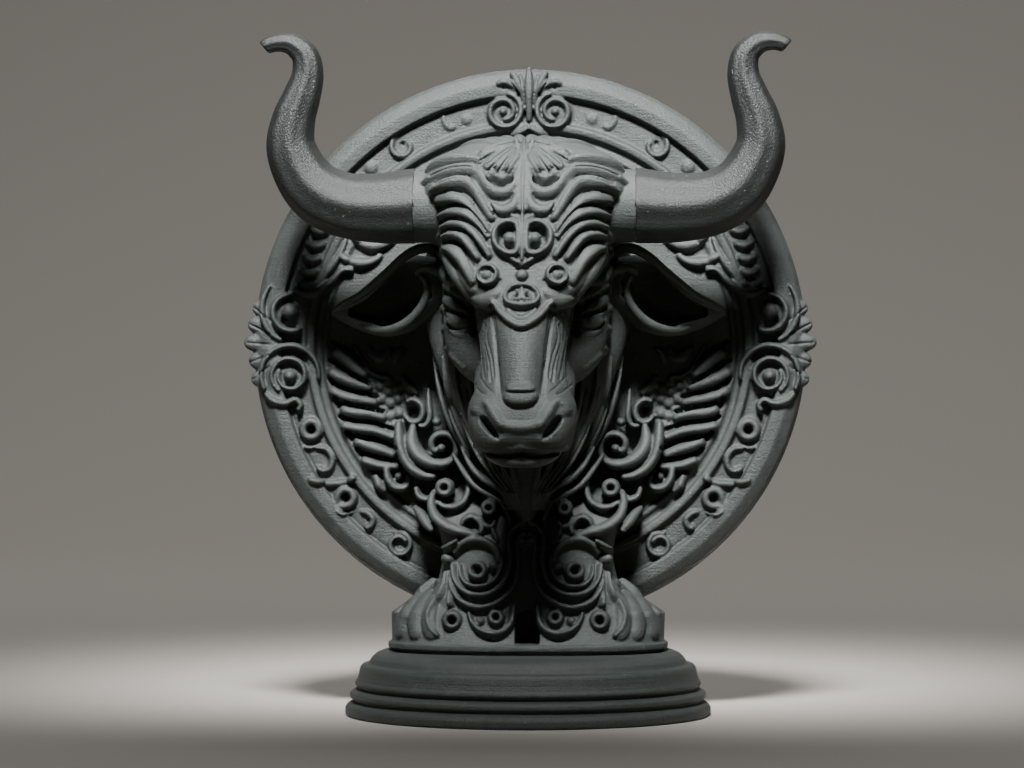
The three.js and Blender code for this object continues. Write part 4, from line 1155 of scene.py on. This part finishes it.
class BullSizes(bpy.types.PropertyGroup):
    """Sizes that set how fine the printed body is."""

    detail: bpy.props.FloatProperty(
        name="Detail", description="Edge of the smallest cell that the body is fused from", default=0.24,
        min=0.1, max=2,
    )
    draft: bpy.props.FloatProperty(
        name="Draft detail", description="Cell for a quick look", default=0.5, min=0.2, max=3,
    )
    budget: bpy.props.IntProperty(
        name="Triangles", description="Most triangles in one mesh of the body", default=190000, min=1000,
        max=199000,
    )


class BullFinish(bpy.types.PropertyGroup):
    """Colours of the printed plastic. The horns' colour is the body's, darkened as painted shade."""

    body_color: bpy.props.FloatVectorProperty(
        name="Body", description="Colour of the printed body", subtype="COLOR", size=3,
        default=(0.049, 0.057, 0.054), min=0, max=1,
    )
    # The horns are the body's printed plastic. This darker colour is painted shade that stands in for less
    # light falling on them.
    painted_shade_horn_color: bpy.props.FloatVectorProperty(
        name="Horns", description="Colour of the horns", subtype="COLOR", size=3,
        default=(0.0165, 0.019, 0.018), min=0, max=1,
    )
    speck_color: bpy.props.FloatVectorProperty(
        name="Specks", description="Colour of the pale specks", subtype="COLOR", size=3,
        default=(0.22, 0.23, 0.22), min=0, max=1,
    )
    mottle: bpy.props.FloatProperty(
        name="Mottle", description="How uneven the colour is", subtype="FACTOR", default=0.85, min=0, max=1,
    )


class BullStudio(bpy.types.PropertyGroup):
    """The view and the light."""

    distance: bpy.props.FloatProperty(
        name="Distance", description="Camera to the middle of the base", unit="LENGTH", default=0.803,
        min=0.1, max=5,
    )
    azimuth: bpy.props.FloatProperty(
        name="Azimuth", description="Turn of the camera round the figurine", subtype="ANGLE",
        default=math.radians(2.3),
    )
    height: bpy.props.FloatProperty(
        name="Height", description="Height of the camera, which looks level", unit="LENGTH", default=0.0708,
        min=0, max=2,
    )
    key: bpy.props.FloatProperty(
        name="Head light", description="Power of the narrow soft light over the head", unit="POWER",
        default=0.32, min=0, max=200,
    )
    room: bpy.props.FloatProperty(
        name="Room light", description="Power of the broad light over the floor", unit="POWER", default=6.0,
        min=0, max=500,
    )
    fill: bpy.props.FloatProperty(
        name="Fill", description="Strength of the light from all round", default=0.018, min=0, max=5,
    )
    floor_color: bpy.props.FloatVectorProperty(
        name="Floor", description="Colour of the pale floor", subtype="COLOR", size=3,
        default=(0.42, 0.39, 0.35), min=0, max=1,
    )


class BodyPart:
    """What the operators of the printed body share."""

    bl_options = {"REGISTER", "UNDO"}

    def build(self, context, name, maker, extra=None):
        sizes, finish = context.scene.bull_sizes, context.scene.bull_finish
        solids, grooves = maker()
        voxel = sizes.detail
        spare = 0 if extra is None else sum(len(face) - 2 for face in extra[1])
        mesh = fused(name, solids, grooves, voxel, sizes.budget - spare)
        if extra is not None:
            mesh = add_turned(mesh, extra)
        material = print_material("Charcoal Print", finish, finish.body_color, dull=0.52, layers=0.4)
        finished(name, mesh, material, ["body"])
        return {"FINISHED"}


class BULL_OT_head(BodyPart, bpy.types.Operator):
    """Build the bull's head with its ears, locks and the stubs of its horns"""

    bl_idname = "bull.head"
    bl_label = "Head"

    def execute(self, context):
        return self.build(context, "head", make_head)


class BULL_OT_medallion(BodyPart, bpy.types.Operator):
    """Build the disc with its rim, band, wings and scrolls"""

    bl_idname = "bull.medallion"
    bl_label = "Medallion"

    def execute(self, context):
        return self.build(context, "medallion", make_medallion)


class BULL_OT_stand(BodyPart, bpy.types.Operator):
    """Build the neck, the stem with its scrolls, the foot and the turned base"""

    bl_idname = "bull.stand"
    bl_label = "Stand"

    def execute(self, context):
        return self.build(context, "stand", make_stand, base())


class BULL_OT_horns(bpy.types.Operator):
    """Build the two long horns"""

    bl_idname = "bull.horns"
    bl_label = "Horns"
    bl_options = {"REGISTER", "UNDO"}

    def execute(self, context):
        finish = context.scene.bull_finish
        # The horn material is the body's print with a darker colour: painted shade, not a different plastic.
        material = print_material("Charcoal Horn Painted Shade", finish, finish.painted_shade_horn_color, dull=0.44, layers=0.15)
        sides, steps = ((112, 420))
        for side, name in ((-1, "left_horn"), (1, "right_horn")):
            mesh = applied(loose_object("horn", [swept(HORN, side, sides, steps, HORN_FLUTE)]))
            finished(name + "_print", mesh, material, [name])
        return {"FINISHED"}


class BULL_OT_stage(bpy.types.Operator):
    """Set up the floor, the soft light and the camera"""

    bl_idname = "bull.stage"
    bl_label = "Studio"
    bl_options = {"REGISTER", "UNDO"}

    def execute(self, context):
        studio = context.scene.bull_studio
        make_floor(studio)
        make_lights(context, studio)
        make_camera(context, studio)
        return {"FINISHED"}


def make_floor(studio):
    """A pale floor that curves up into a backdrop."""
    front, bend_start, bend, top, half_width = -1.6, 0.7, 0.5, 2.0, 2.2
    turn = np.linspace(0, np.pi / 2, 16)
    depth = np.concatenate([[front], bend_start + bend * np.sin(turn), [bend_start + bend]])
    height = np.concatenate([[0], bend - bend * np.cos(turn), [top]])
    verts = [(x, y, z) for y, z in zip(depth, height) for x in (-half_width, half_width)]
    faces = [(2 * i, 2 * i + 1, 2 * i + 3, 2 * i + 2) for i in range(len(depth) - 1)]
    mesh = bpy.data.meshes.new("floor")
    mesh.from_pydata(verts, [], faces)
    mesh.shade_smooth()
    paint = bpy.data.materials.new("Pale Floor")
    paint.use_nodes = True
    shader = paint.node_tree.nodes["Principled BSDF"]
    shader.inputs["Base Color"].default_value = (*studio.floor_color, 1)
    shader.inputs["Roughness"].default_value = 0.75
    mesh.materials.append(paint)
    floor = bpy.data.objects.new("floor", mesh)
    bpy.context.scene.collection.objects.link(floor)


def make_lights(context, studio):
    """A narrow soft light on the head, a broad one over the floor and backdrop, and a faint surround."""
    for name, place, target, size, spread, power in (
        ("head light", (-0.01, -0.275, 0.43), (0, -0.01, 0.12), (0.17, 0.08), 24, studio.key),
        ("room light", (0, 0.55, 1.2), (0, 0.45, 0), (1.4, 1), 140, studio.room),
    ):
        lamp = bpy.data.lights.new(name, "AREA")
        lamp.energy = power
        lamp.shape = "RECTANGLE"
        lamp.size, lamp.size_y = size
        lamp.spread = math.radians(spread)
        light = bpy.data.objects.new(name, lamp)
        light.location = place
        light.rotation_euler = (Vector(target) - Vector(place)).to_track_quat("-Z", "Y").to_euler()
        context.scene.collection.objects.link(light)
    world = bpy.data.worlds.new("surround")
    world.use_nodes = True
    world.node_tree.nodes["Background"].inputs["Color"].default_value = (1, 1, 1, 1)
    world.node_tree.nodes["Background"].inputs["Strength"].default_value = studio.fill
    context.scene.world = world


def make_camera(context, studio):
    """A level view a little to the left of the figurine's middle."""
    aside = 0.00343
    sensor, pixels, image_width = 36.0, 3740.0, 1024
    ahead = Vector((-math.sin(studio.azimuth), math.cos(studio.azimuth), 0))
    right = Vector((math.cos(studio.azimuth), math.sin(studio.azimuth), 0))
    lens = bpy.data.cameras.new("camera")
    lens.sensor_width = sensor
    lens.lens = pixels * sensor / image_width
    lens.clip_start = 0.01
    camera = bpy.data.objects.new("camera", lens)
    turn = Matrix((right, Vector((0, 0, 1)), -ahead)).transposed().to_4x4()
    turn.translation = Vector((0, 0, studio.height)) - ahead * studio.distance - right * aside
    camera.matrix_world = turn
    context.scene.collection.objects.link(camera)
    context.scene.camera = camera


class BULL_PT_panel(bpy.types.Panel):
    """Buttons for each piece, with the sizes and finishes that they use"""

    bl_idname = "BULL_PT_panel"
    bl_label = "Bull Figurine"
    bl_space_type = "VIEW_3D"
    bl_region_type = "UI"
    bl_category = "Bull"

    def draw(self, context):
        for name in ("head", "medallion", "stand", "horns", "stage"):
            self.layout.operator("bull." + name)
        for group in ("bull_sizes", "bull_finish", "bull_studio"):
            settings = getattr(context.scene, group)
            box = self.layout.box()
            for field in settings.__annotations__:
                box.prop(settings, field)


CLASSES = (
    BullSizes, BullFinish, BullStudio, BULL_OT_head, BULL_OT_medallion, BULL_OT_stand, BULL_OT_horns,
    BULL_OT_stage, BULL_PT_panel,
)


def register():
    for kind in CLASSES:
        bpy.utils.register_class(kind)
    bpy.types.Scene.bull_sizes = bpy.props.PointerProperty(type=BullSizes)
    bpy.types.Scene.bull_finish = bpy.props.PointerProperty(type=BullFinish)
    bpy.types.Scene.bull_studio = bpy.props.PointerProperty(type=BullStudio)


def unregister():
    for field in ("bull_sizes", "bull_finish", "bull_studio"):
        delattr(bpy.types.Scene, field)
    for kind in reversed(CLASSES):
        bpy.utils.unregister_class(kind)


def main():
    register()
    bpy.ops.bull.head()
    bpy.ops.bull.medallion()
    bpy.ops.bull.stand()
    bpy.ops.bull.horns()
    bpy.ops.bull.stage()


if __name__ == "__main__":
    main()
